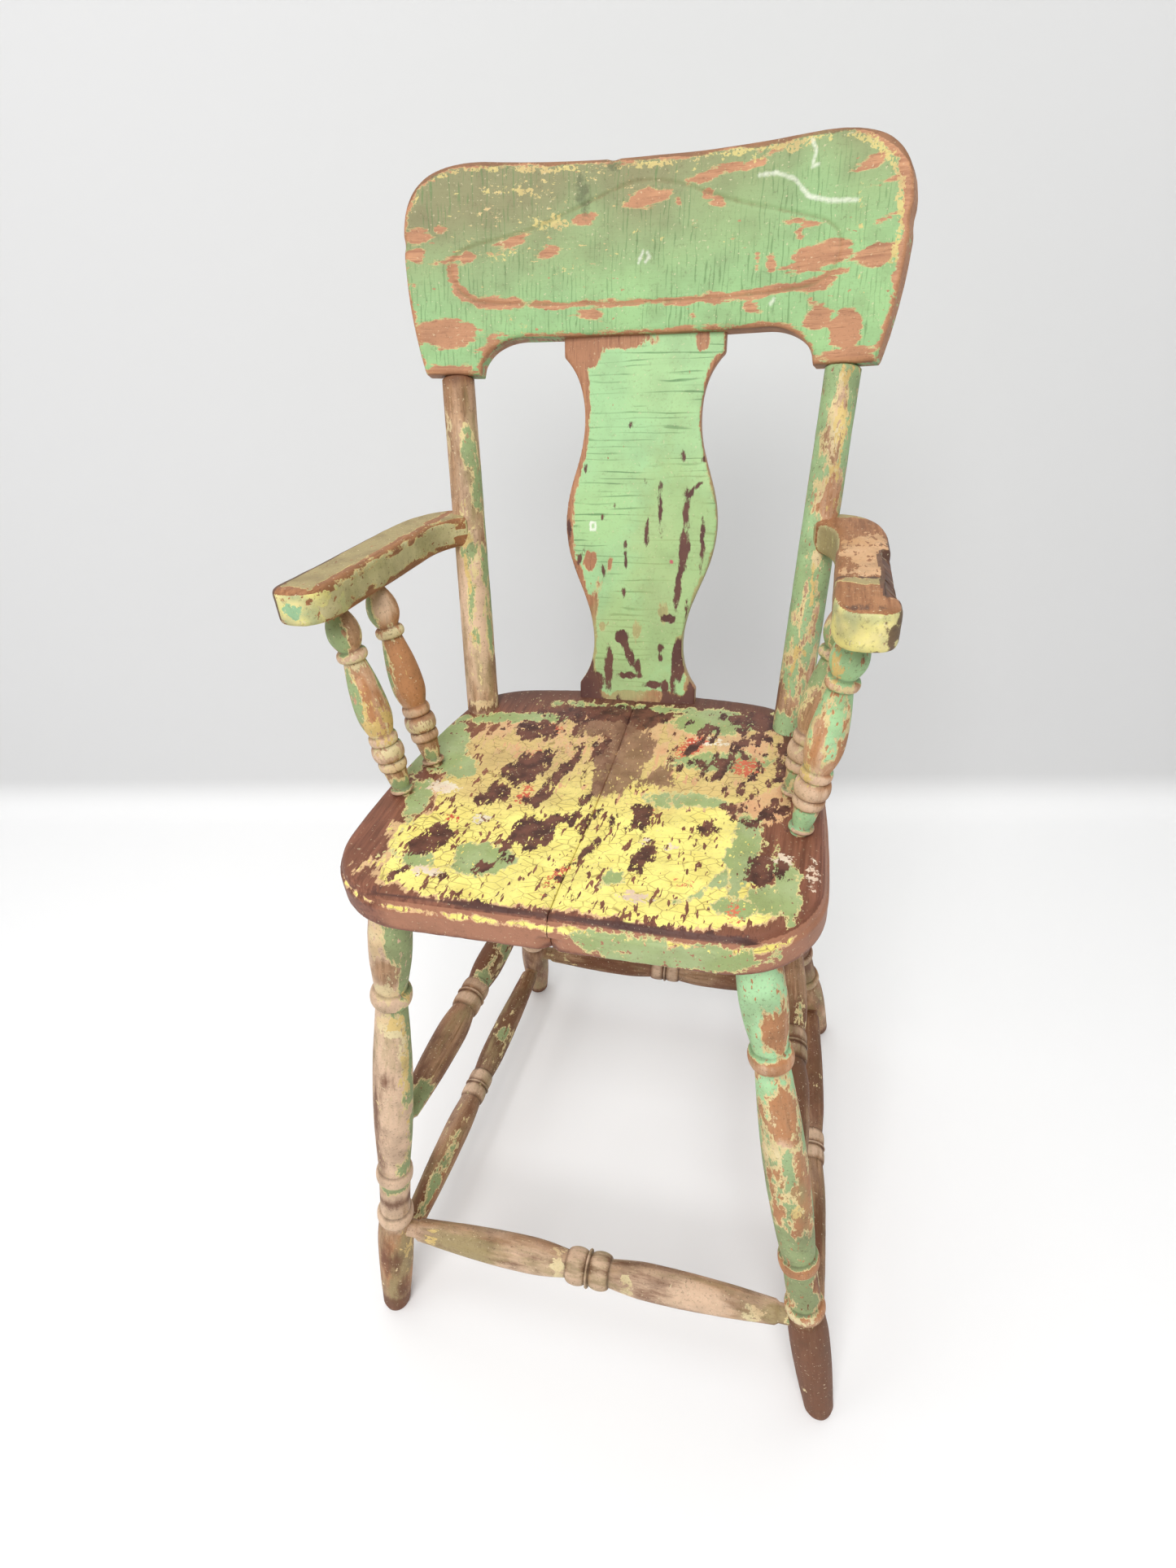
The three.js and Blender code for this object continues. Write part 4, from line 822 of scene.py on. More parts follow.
splatShape = dict(
    thickness=11, back=273, length=274.2, topHalf=61, topBand=13, neckHalf=45, neck=56, bellyHalf=60.5,
    belly=140, waistHalf=37, waist=47, footHalf=49, footBand=12, cove=14, hold=0.4, low=-5, high=6,
    easing=1.2, voxel=1.4, waves=[(0.3, 40, 2), (0.1, (5, 16, 5), 4)],
    wear=dict(
        stripLeft=4.5, stripRight=1.6, stripRough=(2.5, 30, 5), footBare=7, footRough=(5, 12, 3),
        sides=-5, behind=5, behindRough=(9, (25, 45, 25), 7), low=11, lowRise=0.45, lowEdge=0.4,
        lowRough=(7, (8, 14, 8), 6), dullShare=0.4, dullLess=5,
        grime=-14, grimeFoot=9, footHeight=10, grimeHead=6, headRise=(262, 274)),
    tone=[(-35, 147, 26, 24)], dull=[(30, 100, 50, 120), (-10, 40, 50, 60)],
    bare=[(-48, 268, 20, 15), (-18, 272, 26, 7), (44, 270, 6, 7), (-52, 246, 9, 18, -12),
          (-46, 222, 5, 22, -8), (-41, 113, 6, 8), (-24, 109, 2, 5), (20, 72, 4, 9), (-1, 56, 3, 8),
          (-42, 10, 9, 18), (50, 12, 9, 17), (38, 50, 6, 6), (-55, 170, 3, 26), (-38, 72, 4, 24, -12),
          (-30, 60, 3, 3)],
    dark=[(-9, 213, 1.8, 3), (-45, 182, 1.3, 3), (16, 155, 1.6, 16, 3), (6, 136, 1.6, 10),
          (37, 150, 2.2, 14), (36, 122, 4, 15), (32, 92, 3, 16, -6), (25, 68, 6, 3.5), (50, 127, 1.7, 18),
          (33, 190, 1.3, 3), (49, 189, 1.3, 2), (-11, 114, 1.4, 5), (-29, 105, 1.4, 5), (40, 76, 1.4, 6),
          (-13, 52, 6, 6), (-7, 38, 3, 14, 25), (0, 28, 3.5, 6), (35, 34, 6, 17), (-24, 27, 3.5, 17),
          (24, 11, 3.4, 7), (31, 19, 2.3, 14), (-6, 20, 9, 2.5), (14, 13, 8, 3), (-20, 155, 0.9, 1.6),
          (-30, 146, 0.9, 1.6), (4, 172, 0.9, 2), (-12, 125, 1, 2), (-12, 88, 1.2, 3.5), (-58, 135, 1.8, 9),
          (-50, 112, 1.6, 9, -25), (20, 44, 2, 3), (20, 36, 1.6, 2.4), (45, 78, 1, 4)],
    drip=[(0.9, (37, 160), (42, 168), (48, 172))],
    white=[(0.8, (-40, 136), (-36, 136), (-36, 142), (-40, 142), (-40, 136))],
    red=[(26, 113, 1.6, 1.6)],
)


def splatOutline():
    s = splatShape
    bandEnd, neck = s["length"] - s["topBand"], s["length"] - s["neck"]
    foot, waist, low, band = s["footHalf"], s["waistHalf"], s["low"], s["footBand"]
    half = [(foot, low)] + curveOf((foot, low), (foot, band), count=6)
    half += curveOf((foot, band), (waist, band + s["cove"]), (waist, s["waist"]), count=14)
    for end, level in ((s["bellyHalf"], s["belly"]), (s["neckHalf"], neck)):
        (x, y), rise = half[-1], (level - half[-1][1]) * s["hold"]
        half += curveOf((x, y), (x, y + rise), (end, level - rise), (end, level), count=30)
    narrow, wide = s["neckHalf"], s["topHalf"]
    half += curveOf((narrow, neck), (narrow, bandEnd - s["cove"]), (wide, bandEnd), count=16)
    half += curveOf((wide, bandEnd), (wide, s["length"] + s["high"]), count=6)
    return np.array(half + [(-x, y) for x, y in half[::-1]])


def backSplat(finish):
    s, b = splatShape, backShape
    rims = [(s["thickness"], s["easing"], 2), (0, s["easing"], 2)]
    board = sawnBoard("splat_board", splatOutline(), s["thickness"], rims, s["voxel"], 2)
    co = places(board)
    normals = normalsOf(board)
    x, up, w = co.T.copy()
    co += normals * unevenness(co, s["waves"])
    co[:, 2] -= s["thickness"] / 2
    movePlaces(board, co)
    keepFields(board, np.column_stack([x, up, w]), splatWear(co, x, up, normals))
    # from the seat to the middle of the crest's arch
    bow = crestShape["bowRadius"] * (1 - math.cos(b["postTopX"] / crestShape["bowRadius"]))
    rise = crestShape["bottom"] + crestShape["archRise"]
    headBack = b["postBack"] + rise * math.sin(b["rake"]) + bow * math.cos(b["rake"])
    headUp = rise * math.cos(b["rake"]) - bow * math.sin(b["rake"])
    placing = Matrix.Translation((0, s["back"] + seatFront, seatShape["height"]))
    placing = placing @ Matrix.Rotation(math.atan2(headUp, headBack - s["back"]), 4, "X")
    return finishPiece(board, "back_splat", finish, placing)


def splatWear(co, x, up, normals):
    s, w = splatShape, splatShape["wear"]
    onFront = fade(normals[:, 2], *faceTurn) > 0.5
    edge = nearEdge(x, up, splatOutline())
    strip = np.where(x < 0, w["stripLeft"], w["stripRight"]) + lumps(co, w["stripRough"])
    paint = np.minimum(-inSpots(x, up, s["bare"]), edge - strip)
    paint = np.minimum(paint, up - w["footBare"] + lumps(co, w["footRough"]))
    behind = w["behind"] + lumps(co, w["behindRough"])
    paint = np.where(onFront, paint, np.where(abs(normals[:, 2]) < 0.5, w["sides"], behind))
    dark = np.maximum(inSpots(x, up, s["dark"]), inStrokes(x, up, s["drip"]))
    lowDark = w["low"] - w["lowRise"] * up - w["lowEdge"] * edge + lumps(co, w["lowRough"])
    # darker at the foot, and painted shade under the crest's overhang at the head
    grime = w["grime"] + w["grimeFoot"] * fade(w["footHeight"] - up, 0, w["footHeight"])
    return dict(
        paint=paint, dark=np.where(onFront, np.maximum(dark, lowDark), noPaint),
        red=np.where(onFront, inSpots(x, up, s["red"]), noPaint),
        white=np.where(onFront, inStrokes(x, up, s["white"]), noPaint),
        tone=inSpots(x, up, s["tone"]), dull=inSpots(x, up, s["dull"]) * w["dullShare"] - w["dullLess"],
        grime=grime + w["grimeHead"] * fade(up, *w["headRise"]))


def splatFinish():
    f = Finish("splat_paint_layers")
    colour, height = f.wood(dict(dark="#A27054", light="#BF8C68", tint="#B27E5E", pore="#744C38",
                                 grain=2.5, stretch=(1, 16, 1)))
    grain = (1, 2.6, 1)
    colour, height = f.coats(colour, height, (
        dict(field="paint", colour="#A9D39B", second="#AFD59A", size=7, stretch=grain, ragged=0.28,
             shift=1.0, mottle=50, rim=("#DDC894", 0.04), chips=(3, 0.74), tone=("tone", "#AED598"),
             thick=0.8, cracks=(4.6, "Y", 8, 0.7, "#5A8656", 0.75)),
        dict(field="dull", colour="#A9BF80", second="#B4C488", size=20, ragged=0.5, shift=2.0, crisp=0.3,
             cover=0.6),
        dict(field="dark", colour="#5E3E3A", second="#704C42", size=4, ragged=0.2, stretch=(1, 3, 1),
             shift=3.0, thick=-0.8),
        dict(field="red", colour="#C86A70", size=4, ragged=0.1, shift=4.0),
        dict(field="white", colour="#EEF4E4", size=3, ragged=0.05, shift=5.0),
    ))
    return f.finish(colour, height, rough=0.5, soil=0.3)


backSplat(splatFinish())
print("splat done")

# Turned pieces share one finish; each piece says where its coats are, in degrees round it and mm along it.

turnedWear = dict(
    coats=("green", "cream", "yellow", "grey", "dark", "warm", "olive"), base=-9, vary=5, lumps=(22, 22, 55),
    seedStep=3.1, arc=0.25, beadShare=0.7, rub=5, beadGrey=6, beadDark=-5, creaseShadePeak=4.5, creaseSlope=4,
    creaseNone=-20.0, grime=-15, grimeAndShadeRough=4, grimeLumps=(14, 14, 30), grimeSeed=40,
    waves=[(0.22, (9, 9, 40), 0), (0.1, (4, 4, 9), 5)],
)


def roundSpots(turn, along, spots):
    best = np.full(len(turn), farOutside)
    for centre, middle, halfTurn, halfAlong in spots:
        du = ((turn - centre + 180) % 360 - 180) / halfTurn
        dv = (along - middle) / halfAlong
        best = np.maximum(best, (1 - np.hypot(du, dv)) * min(halfTurn * turnedWear["arc"], halfAlong))
    return best


def wearTurning(piece, placing, look, seed, beads):
    back = np.array(placing.inverted())
    co = places(piece)
    local = co @ back[:3, :3].T + back[:3, 3]
    turn = np.degrees(np.arctan2(local[:, 0], -local[:, 1]))
    along = local[:, 2]
    w, fields = turnedWear, {}
    for index, name in enumerate(w["coats"]):
        coat = {"base": w["base"], "vary": w["vary"], **look.get(name, {})}
        value = coat["base"] + lumps(local, (coat["vary"], w["lumps"], seed * w["seedStep"] + index))
        if "on" in coat:
            value = np.maximum(value, roundSpots(turn, along, coat["on"]))
        if "off" in coat:
            value = np.minimum(value, -roundSpots(turn, along, coat["off"]))
        fields[name] = value
    creaseShade = np.full(len(along), w["creaseNone"])
    gains = dict(green=-look.get("rub", w["rub"]), grey=w["beadGrey"], dark=w["beadDark"])
    for middle, half in beads:  # rubbed bare on top, with painted shade in the hollows beside
        on = fade(half - abs(along - middle), 0, half * w["beadShare"])
        for name, gain in gains.items():
            fields[name] += gain * on
        creaseShade = np.maximum(creaseShade, w["creaseShadePeak"] - w["creaseSlope"] * abs(abs(along - middle) - half))
    fields["muted"] = np.interp(along, *zip(*look["muted"]))
    dirty = lumps(local, (w["grimeAndShadeRough"], w["grimeLumps"], seed + w["grimeSeed"]))
    # random dirt, with the painted shade of the creases
    fields["grime"] = np.maximum(w["grime"] + look.get("dirt", 0) + dirty, creaseShade)
    keepFields(piece, local, fields)


def turnedPiece(turning, sides, node, foot, head, look, seed, facing=(0, -1, 0), sawLevel=False):
    foot = (foot[0], foot[1] + seatFront, foot[2])
    head = (head[0], head[1] + seatFront, head[2])
    piece = turning.piece(node.replace("_", "_turned_", 1), sides)
    placing = standing(foot, head, facing)
    co = places(piece)
    normals = normalsOf(piece)
    waves = [(height, size, seed + step) for height, size, step in turnedWear["waves"]]
    movePlaces(piece, co + normals * unevenness(co, waves))
    piece.data.transform(placing)
    if sawLevel:  # feet cut off level with the floor
        bpy.ops.object.mode_set(mode="EDIT")
        bpy.ops.mesh.select_all(action="SELECT")
        bpy.ops.mesh.bisect(plane_co=(0, 0, 0), plane_no=(0, 0, 1), use_fill=True, clear_inner=True)
        bpy.ops.object.mode_set(mode="OBJECT")
    wearTurning(piece, placing, look, seed, turning.beads)
    return finishPiece(piece, node, turnedPaint, Matrix.Identity(4))


woodTones = dict(  # colour and seed of each change in the bare wood
    warm=("#C2865A", 6), grey=("#E6C6A8", 6), olive=("#A09064", 7), dark=("#6A3B24", 6))
toneRule = dict(size=8, stretch=(1, 1, 4.5), rough=0.66, share=1.2, low=0.85, high=1.35, cover=0.85)


def turnedFinish():
    f = Finish("turned_paint_layers")
    colour, height = f.wood(dict(dark="#94704F", light="#C39B77", tint="#B18A68", pore="#644836",
                                 grain=3, stretch=(1, 1, 14)))
    tone = toneRule
    for name, (code, seed) in woodTones.items():
        patchy = f.noise(tone["size"], tone["stretch"], 4, seed, tone["rough"])
        blur = f.math("MULTIPLY_ADD", patchy, tone["share"], f.attribute(name))
        colour = f.stain(colour, blur, tone["low"], tone["high"], tone["cover"], code)
    grain = (1, 1, 2.4)
    colour, height = f.coats(colour, height, (
        dict(field="cream", colour="#E4D3A4", second="#DFC094", size=7, stretch=grain, ragged=0.7, shift=1.0,
             chips=(3.5, 0.6)),
        dict(field="green", colour="#B6E3AE", second="#A9D098", size=7, stretch=grain, ragged=0.7, shift=3.0,
             mottle=34, detail=5, rim=("#E2CE98", 0.14), chips=(3.2, 0.63), thick=0.8,
             tone=("muted", "#98A674")),
        dict(field="yellow", colour="#E2C884", second="#DEC07C", size=6, stretch=grain, ragged=0.8,
             shift=5.0, chips=(3, 0.58)),
    ))
    return f.finish(colour, height, rough=0.62, soil=0.66, dust=0.65)


turnedPaint = turnedFinish()

# Back posts

postShape = dict(baseRadius=13.2, topRadius=12.4, rise=258, sunk=14, ease=1.5, gap=0.5, sides=48)
postLooks = {
    "left_back_post": dict(
        green=dict(on=[(40, 205, 22, 12), (70, 178, 26, 22), (14, 92, 9, 26), (78, 66, 20, 16),
                       (80, 120, 20, 14), (10, 128, 30, 5), (150, 120, 60, 90)]),
        cream=dict(base=-8, on=[(-35, 216, 10, 18), (24, 125, 20, 6), (20, 4, 90, 3)]),
        yellow=dict(base=-11, vary=4, on=[(6, 108, 7, 18), (14, 136, 14, 5)]),
        olive=dict(base=-5, vary=7, on=[(60, 190, 40, 40)]),
        grey=dict(base=0, vary=6, on=[(24, 80, 60, 70)]),
        dark=dict(base=-8, vary=6, on=[(23, 258, 180, 4), (23, 0, 180, 4)]), warm=dict(base=-4, vary=7),
        muted=[(0, 6)]),
    "right_back_post": dict(
        green=dict(base=3, on=[(-62, 190, 26, 80), (0, 72, 120, 66), (70, 210, 18, 50)],
                   off=[(8, 214, 34, 34), (20, 168, 48, 24), (2, 62, 9, 22), (-75, 30, 26, 26),
                        (50, 34, 30, 26), (10, 128, 24, 8), (-22, 96, 7, 9), (26, 84, 6, 12),
                        (-40, 66, 8, 14), (-30, 20, 40, 10), (14, 24, 10, 14)]),
        cream=dict(base=-7, vary=6, on=[(2, 222, 16, 28), (-20, 160, 12, 26), (12, 128, 30, 8)]),
        yellow=dict(base=-12, vary=6, on=[(16, 222, 8, 22), (30, 200, 7, 14), (-20, 60, 6, 12),
                                          (10, 98, 6, 14)]), grey=dict(base=-2, vary=6),
        dark=dict(vary=6, on=[(0, 258, 180, 4), (-75, 30, 26, 26), (0, 0, 180, 5), (-24, 92, 5, 6),
                              (4, 50, 5, 9)]),
        warm=dict(base=-4, vary=8, on=[(20, 165, 60, 26)]), muted=[(0, 1)]),
}


def backPost(side, node, look, seed):
    p, b = postShape, backShape
    base = (side * b["baseX"], b["postBack"], seatShape["height"])
    topBack = b["postBack"] + p["rise"] * math.sin(b["rake"])
    top = (side * b["postTopX"], topBack, base[2] + p["rise"] * math.cos(b["rake"]))
    length = math.dist(base, top)
    turning = Turning(p["baseRadius"], -p["sunk"]).to(0, p["baseRadius"])
    turning.to(length - p["ease"] - p["gap"], p["topRadius"])
    turning.to(length - p["gap"], p["topRadius"] - p["ease"])
    return turnedPiece(turning, p["sides"], node, base, top, look, seed)


for side, node, seed in ((-1, "left_back_post", 1), (1, "right_back_post", 2)):
    backPost(side, node, postLooks[node], seed)
print("posts done")

# Arms

armShape = dict(
    height=143, thickness=24, rise=0.0975, outer=185, width=35, front=76, innerCorner=30,
    innerCornerWidth=17, outerCorner=14, elbow=62, elbowDraw=2, heelWidth=26, heelX=137.3, heelBack=290.5,
    easing=4, level=116, voxel=1.2, breakStart=104, breakEnd=202, breakWidth=8, breakDepth=10,
    breakRough=(0.9, (3, 26, 3), 4), ledgeRough=(1.6, (4, 20, 4), 6),
    waves=[(0.35, (20, 40, 20), 3), (0.12, (4, 12, 4), 5)], breakFront=(6, 3), breakRear=(5, 8),
    splitReach=2, splitDark=20, splitPale=4, splitLess=12, faceTurn=(0.5, 0.9), arrisTurn=(0.06, 0.22),
    lowerTo=10, coatNone=-9.0, toneGain=16, toneLess=8, grime=-14, grimeAndShadeRough=(3, 14, 11), grimeLower=3,
)


def armOutline(side):
    a = armShape
    inner, elbow, half = a["outer"] - a["width"], a["heelBack"] - a["elbow"], a["heelWidth"] / 2
    start = (a["heelX"] - half / 3, a["heelBack"] - half)
    points = [start] + curveOf(start, (inner, a["heelBack"] - a["heelWidth"]), (inner, elbow), count=18)
    points += curveOf((inner, elbow), (inner, a["front"] + a["innerCorner"]), count=30)
    corner = (inner + a["innerCornerWidth"], a["front"])
    points += curveOf((inner, a["front"] + a["innerCorner"]), (inner, a["front"]), corner, count=16)
    points += curveOf(points[-1], (a["outer"] - a["outerCorner"], a["front"]), count=3)
    outerSide = (a["outer"], a["front"] + a["outerCorner"])
    points += curveOf(points[-1], (a["outer"], a["front"]), outerSide, count=12)
    outerElbow = a["outer"] - a["elbowDraw"]
    points += curveOf(points[-1], (outerElbow, elbow), count=34)
    heel = (a["heelX"] + half, a["heelBack"] + half)
    points += curveOf((outerElbow, elbow), (outerElbow, a["heelBack"] + half / 2), heel, count=20)
    return np.array([(side * x, y) for x, y in (points if side > 0 else points[::-1])])


def sawnArm(side, node, finish):
    a = armShape
    rims = [(a["thickness"], a["easing"], 4), (0, a["easing"], 4)]
    board = sawnBoard(node.replace("_", "_sawn_"), armOutline(side), a["thickness"], rims, a["voxel"])
    co = places(board)
    normals = normalsOf(board)
    x, back, up = co.T.copy()
    out = side * x
    split = np.full(len(x), noPaint)
    if side > 0:  # splinter lost along the outer upper edge
        (before, into), (short, past) = a["breakFront"], a["breakRear"]
        ends = fade(back, a["breakStart"] - before, a["breakStart"] + into)
        ends = ends * (1 - fade(back, a["breakEnd"] - short, a["breakEnd"] + past))
        face = a["outer"] - a["breakWidth"] * ends + lumps(co, a["breakRough"]) * ends
        level = a["thickness"] - a["breakDepth"] + lumps(co, a["ledgeRough"])
        gone = (out > face) & (up > level)
        byWall = (out - face) < (up - level)
        co[:, 0] = np.where(gone & byWall, face, co[:, 0])
        co[:, 2] = np.where(gone & ~byWall, level, co[:, 2])
        nearSplit = (out > face - a["splitReach"]) & (up > level - a["splitReach"])
        split = np.where(nearSplit, a["splitDark"], a["splitPale"]) * ends - a["splitLess"]
    co += normals * unevenness(co, [(height, size, seed + side) for height, size, seed in a["waves"]])
    movePlaces(board, co - np.outer((back - a["level"]) * a["rise"], [0, 0, 1]))
    nx, ny, nz = normals[:, 0] * side, normals[:, 1], normals[:, 2]
    top, inside = fade(nz, *a["faceTurn"]), fade(-nx, *a["faceTurn"])
    arris = fade(1 - np.maximum(np.maximum(abs(nz), abs(nx)), abs(ny)), *a["arrisTurn"])
    if side < 0:
        fields = leftArmWear(co, out, back, up, top, inside, arris)
    else:
        fields = rightArmWear(co, out, back, up, top, inside, split)
    fields["grime"] = a["grime"] + lumps(co, a["grimeAndShadeRough"]) + a["grimeLower"] * arris * (up < a["lowerTo"])
    keepFields(board, np.column_stack([x, back, up]), fields)
    placing = Matrix.Translation((0, seatFront, seatShape["height"] + a["height"]))
    return finishPiece(board, node, finish, placing)


leftArm = dict(
    lineHalf=4.0, lineIn=3.6, lineRough=(2, 18, 2), bandReach=9, bandRough=(2, 14, 4), faceFrom=18,
    hidden=-20, footHeight=5.5, footRough=(3, 16, 7), footLess=9, footFront=120, footFade=20,
    lowerRub=9, lowerLess=3, upperFrom=14, upperRub=6, upperLess=4,
    green=7, greenNear=2, nearBare=-3, greenRough=(3, 14, 6),
    handBack=112, handRough=(16, 15, 3), handFade=34, cream=11, creamLess=7, creamTo=21,
    creamRough=(5, 6, 8), teal=[(168, 10, 6, 5)], tealTo=95, tealLess=30, pale=1, paleRough=(12, 6, 5),
    dark=6, darkNone=-12, darkIn=6, darkFrom=4, darkRough=(3, 16, 9),
)


def leftArmWear(co, out, back, up, top, inside, arris):
    a, w = armShape, leftArm
    onFace = up > w["faceFrom"]
    lineAt = a["outer"] - a["width"] + w["lineIn"]
    innerLine = w["lineHalf"] - abs(out - lineAt) + lumps(co, w["lineRough"])
    frontBand = w["bandReach"] - (back - a["front"]) + lumps(co, w["bandRough"])
    foot = w["footHeight"] - up + lumps(co, w["footRough"])
    foot = foot - w["footLess"] * fade(w["footFront"] - back, 0, w["footFade"])
    lines = np.where(onFace, np.maximum(innerLine, frontBand), w["hidden"])
    foot = np.where(inside > 0.5, foot, w["hidden"])
    lower = arris * (up < a["lowerTo"]) * w["lowerRub"] - w["lowerLess"]
    upper = arris * (up > w["upperFrom"]) * w["upperRub"] - w["upperLess"]
    bare = np.maximum.reduce([lines, foot, lower, upper])
    green = w["green"] - w["greenNear"] * (bare > w["nearBare"]) + lumps(co, w["greenRough"])
    hand = fade(w["handBack"] - back + lumps(co, w["handRough"]), 0, w["handFade"])
    cream = np.where((up < w["creamTo"]) & (top < 0.3), hand * w["cream"] - w["creamLess"], a["coatNone"])
    dark = np.where((out > a["outer"] - w["darkIn"]) & (up > w["darkFrom"]), w["dark"], w["darkNone"])
    return dict(
        green=np.minimum(green, -bare), cream=cream + lumps(co, w["creamRough"]),
        teal=inSpots(out, up, w["teal"]) - w["tealLess"] * (back > w["tealTo"]),
        dark=dark + lumps(co, w["darkRough"]), peach=np.full(len(out), a["coatNone"]),
        pale=w["pale"] + lumps(co, w["paleRough"]), top=top * a["toneGain"] - a["toneLess"])


rightArm = dict(
    insideFrom=200, heelFrom=288, heelGain=0.7, greenRough=(4, 10, 6), green=[(168, 132, 20, 5)],
    frontTo=106, frontGreen=7, cream=19, creamTo=112, creamFade=20, creamLess=4, creamOuter=13,
    outerFade=(170, 184), creamRough=(3, 9, 8),
    pale=-7, paleRough=(12, 6, 5), paleInner=8, innerFrom=174, innerFade=16, paleRise=(8, 18),
    darkOut=176, darkStart=94, darkEnd=240, dark=6, darkTop=8, darkNone=-13, darkRough=(3, 12, 9),
    cornerTo=104, cornerOut=179, cornerGain=0.8, cornerRough=(7, 4.5, 2),
    crack=[(165, 139, 22, 1.6)], crackGain=2, stain=[(160, 84, 12, 5)], stainLess=1,
    peach=[(170, 200, 16, 44), (166, 150, 14, 10)], peachRough=(2, 10, 3),
)


def rightArmWear(co, out, back, up, top, inside, split):
    a, w = armShape, rightArm
    heel = w["heelGain"] * (back - w["heelFrom"])
    within = np.where(inside > 0.5, back - w["insideFrom"], a["coatNone"])
    green = np.maximum(within, heel) + lumps(co, w["greenRough"])
    front = np.where((back < w["frontTo"]) & (top < 0.4), w["frontGreen"], a["coatNone"])
    cream = w["cream"] * fade(w["creamTo"] - back, 0, w["creamFade"]) - w["creamLess"]
    cream = np.where(top < 0.4, cream - w["creamOuter"] * fade(out, *w["outerFade"]), a["coatNone"])
    pale = w["pale"] + lumps(co, w["paleRough"])
    pale = pale + w["paleInner"] * fade(w["innerFrom"] - out, 0, w["innerFade"]) * fade(up, *w["paleRise"])
    along = (out > w["darkOut"]) & (back > w["darkStart"]) & (back < w["darkEnd"])
    dark = np.maximum(split, np.where(along, w["dark"] - w["darkTop"] * top, w["darkNone"]))
    corner = w["cornerGain"] * (out - w["cornerOut"]) + lumps(co, w["cornerRough"])
    corner = np.where((top < 0.6) & (back < w["cornerTo"]), corner, w["darkNone"])
    stain = inSpots(out, back, w["stain"]) - w["stainLess"] + noPaint * (1 - top)
    crack = inSpots(out, back, w["crack"]) * w["crackGain"]
    dark = np.maximum.reduce([dark + lumps(co, w["darkRough"]), corner, crack, stain])
    peach = inSpots(out, back, w["peach"]) * top + a["coatNone"] * (1 - top) + lumps(co, w["peachRough"])
    return dict(
        green=np.maximum.reduce([green, inSpots(out, back, w["green"]), front]),
        cream=cream + lumps(co, w["creamRough"]), teal=np.full(len(out), a["coatNone"]), dark=dark,
        peach=peach, pale=pale, top=np.maximum(top, inside) * a["toneGain"] - a["toneLess"])


def armFinish():
    f = Finish("arm_paint_layers")
    colour, height = f.wood(dict(dark="#905F3E", light="#B37F57", tint="#9E6C47", pore="#664330",
                                 grain=2.5, stretch=(1, 14, 1)))
    grain = (1, 2.4, 1)
    colour, height = f.coats(colour, height, (
        dict(field="peach", colour="#D9AE84", second="#C99A6C", size=7, ragged=0.7, shift=1.0, stretch=grain,
             chips=(4, 0.58)),
        dict(field="green", colour="#D2C898", second="#BEB682", size=7, ragged=0.35, shift=2.0,
             stretch=grain, rim=("#DFC98A", 0.05), chips=(3, 0.66), tone=("top", "#A8976A"), thick=0.7),
        dict(field="cream", colour="#F0E48E", second="#E8DA98", size=6, ragged=0.7, shift=3.0, mottle=12,
             chips=(3, 0.66), thick=0.5, tone=("pale", "#B8BA88")),
        dict(field="teal", colour="#98BE92", size=5, ragged=0.6, shift=4.0),
        dict(field="dark", colour="#6A4A3C", second="#523A31", size=6, stretch=(1, 3, 1), ragged=0.6,
             shift=5.0, crisp=0.1, cover=0.9),
    ))
    return f.finish(colour, height, rough=0.6, soil=0.55, dust=0.65)


armPaint = armFinish()
for side, node in ((-1, "left_arm"), (1, "right_arm")):
    sawnArm(side, node, armPaint)
print("arms done")

# Spindles under the arms

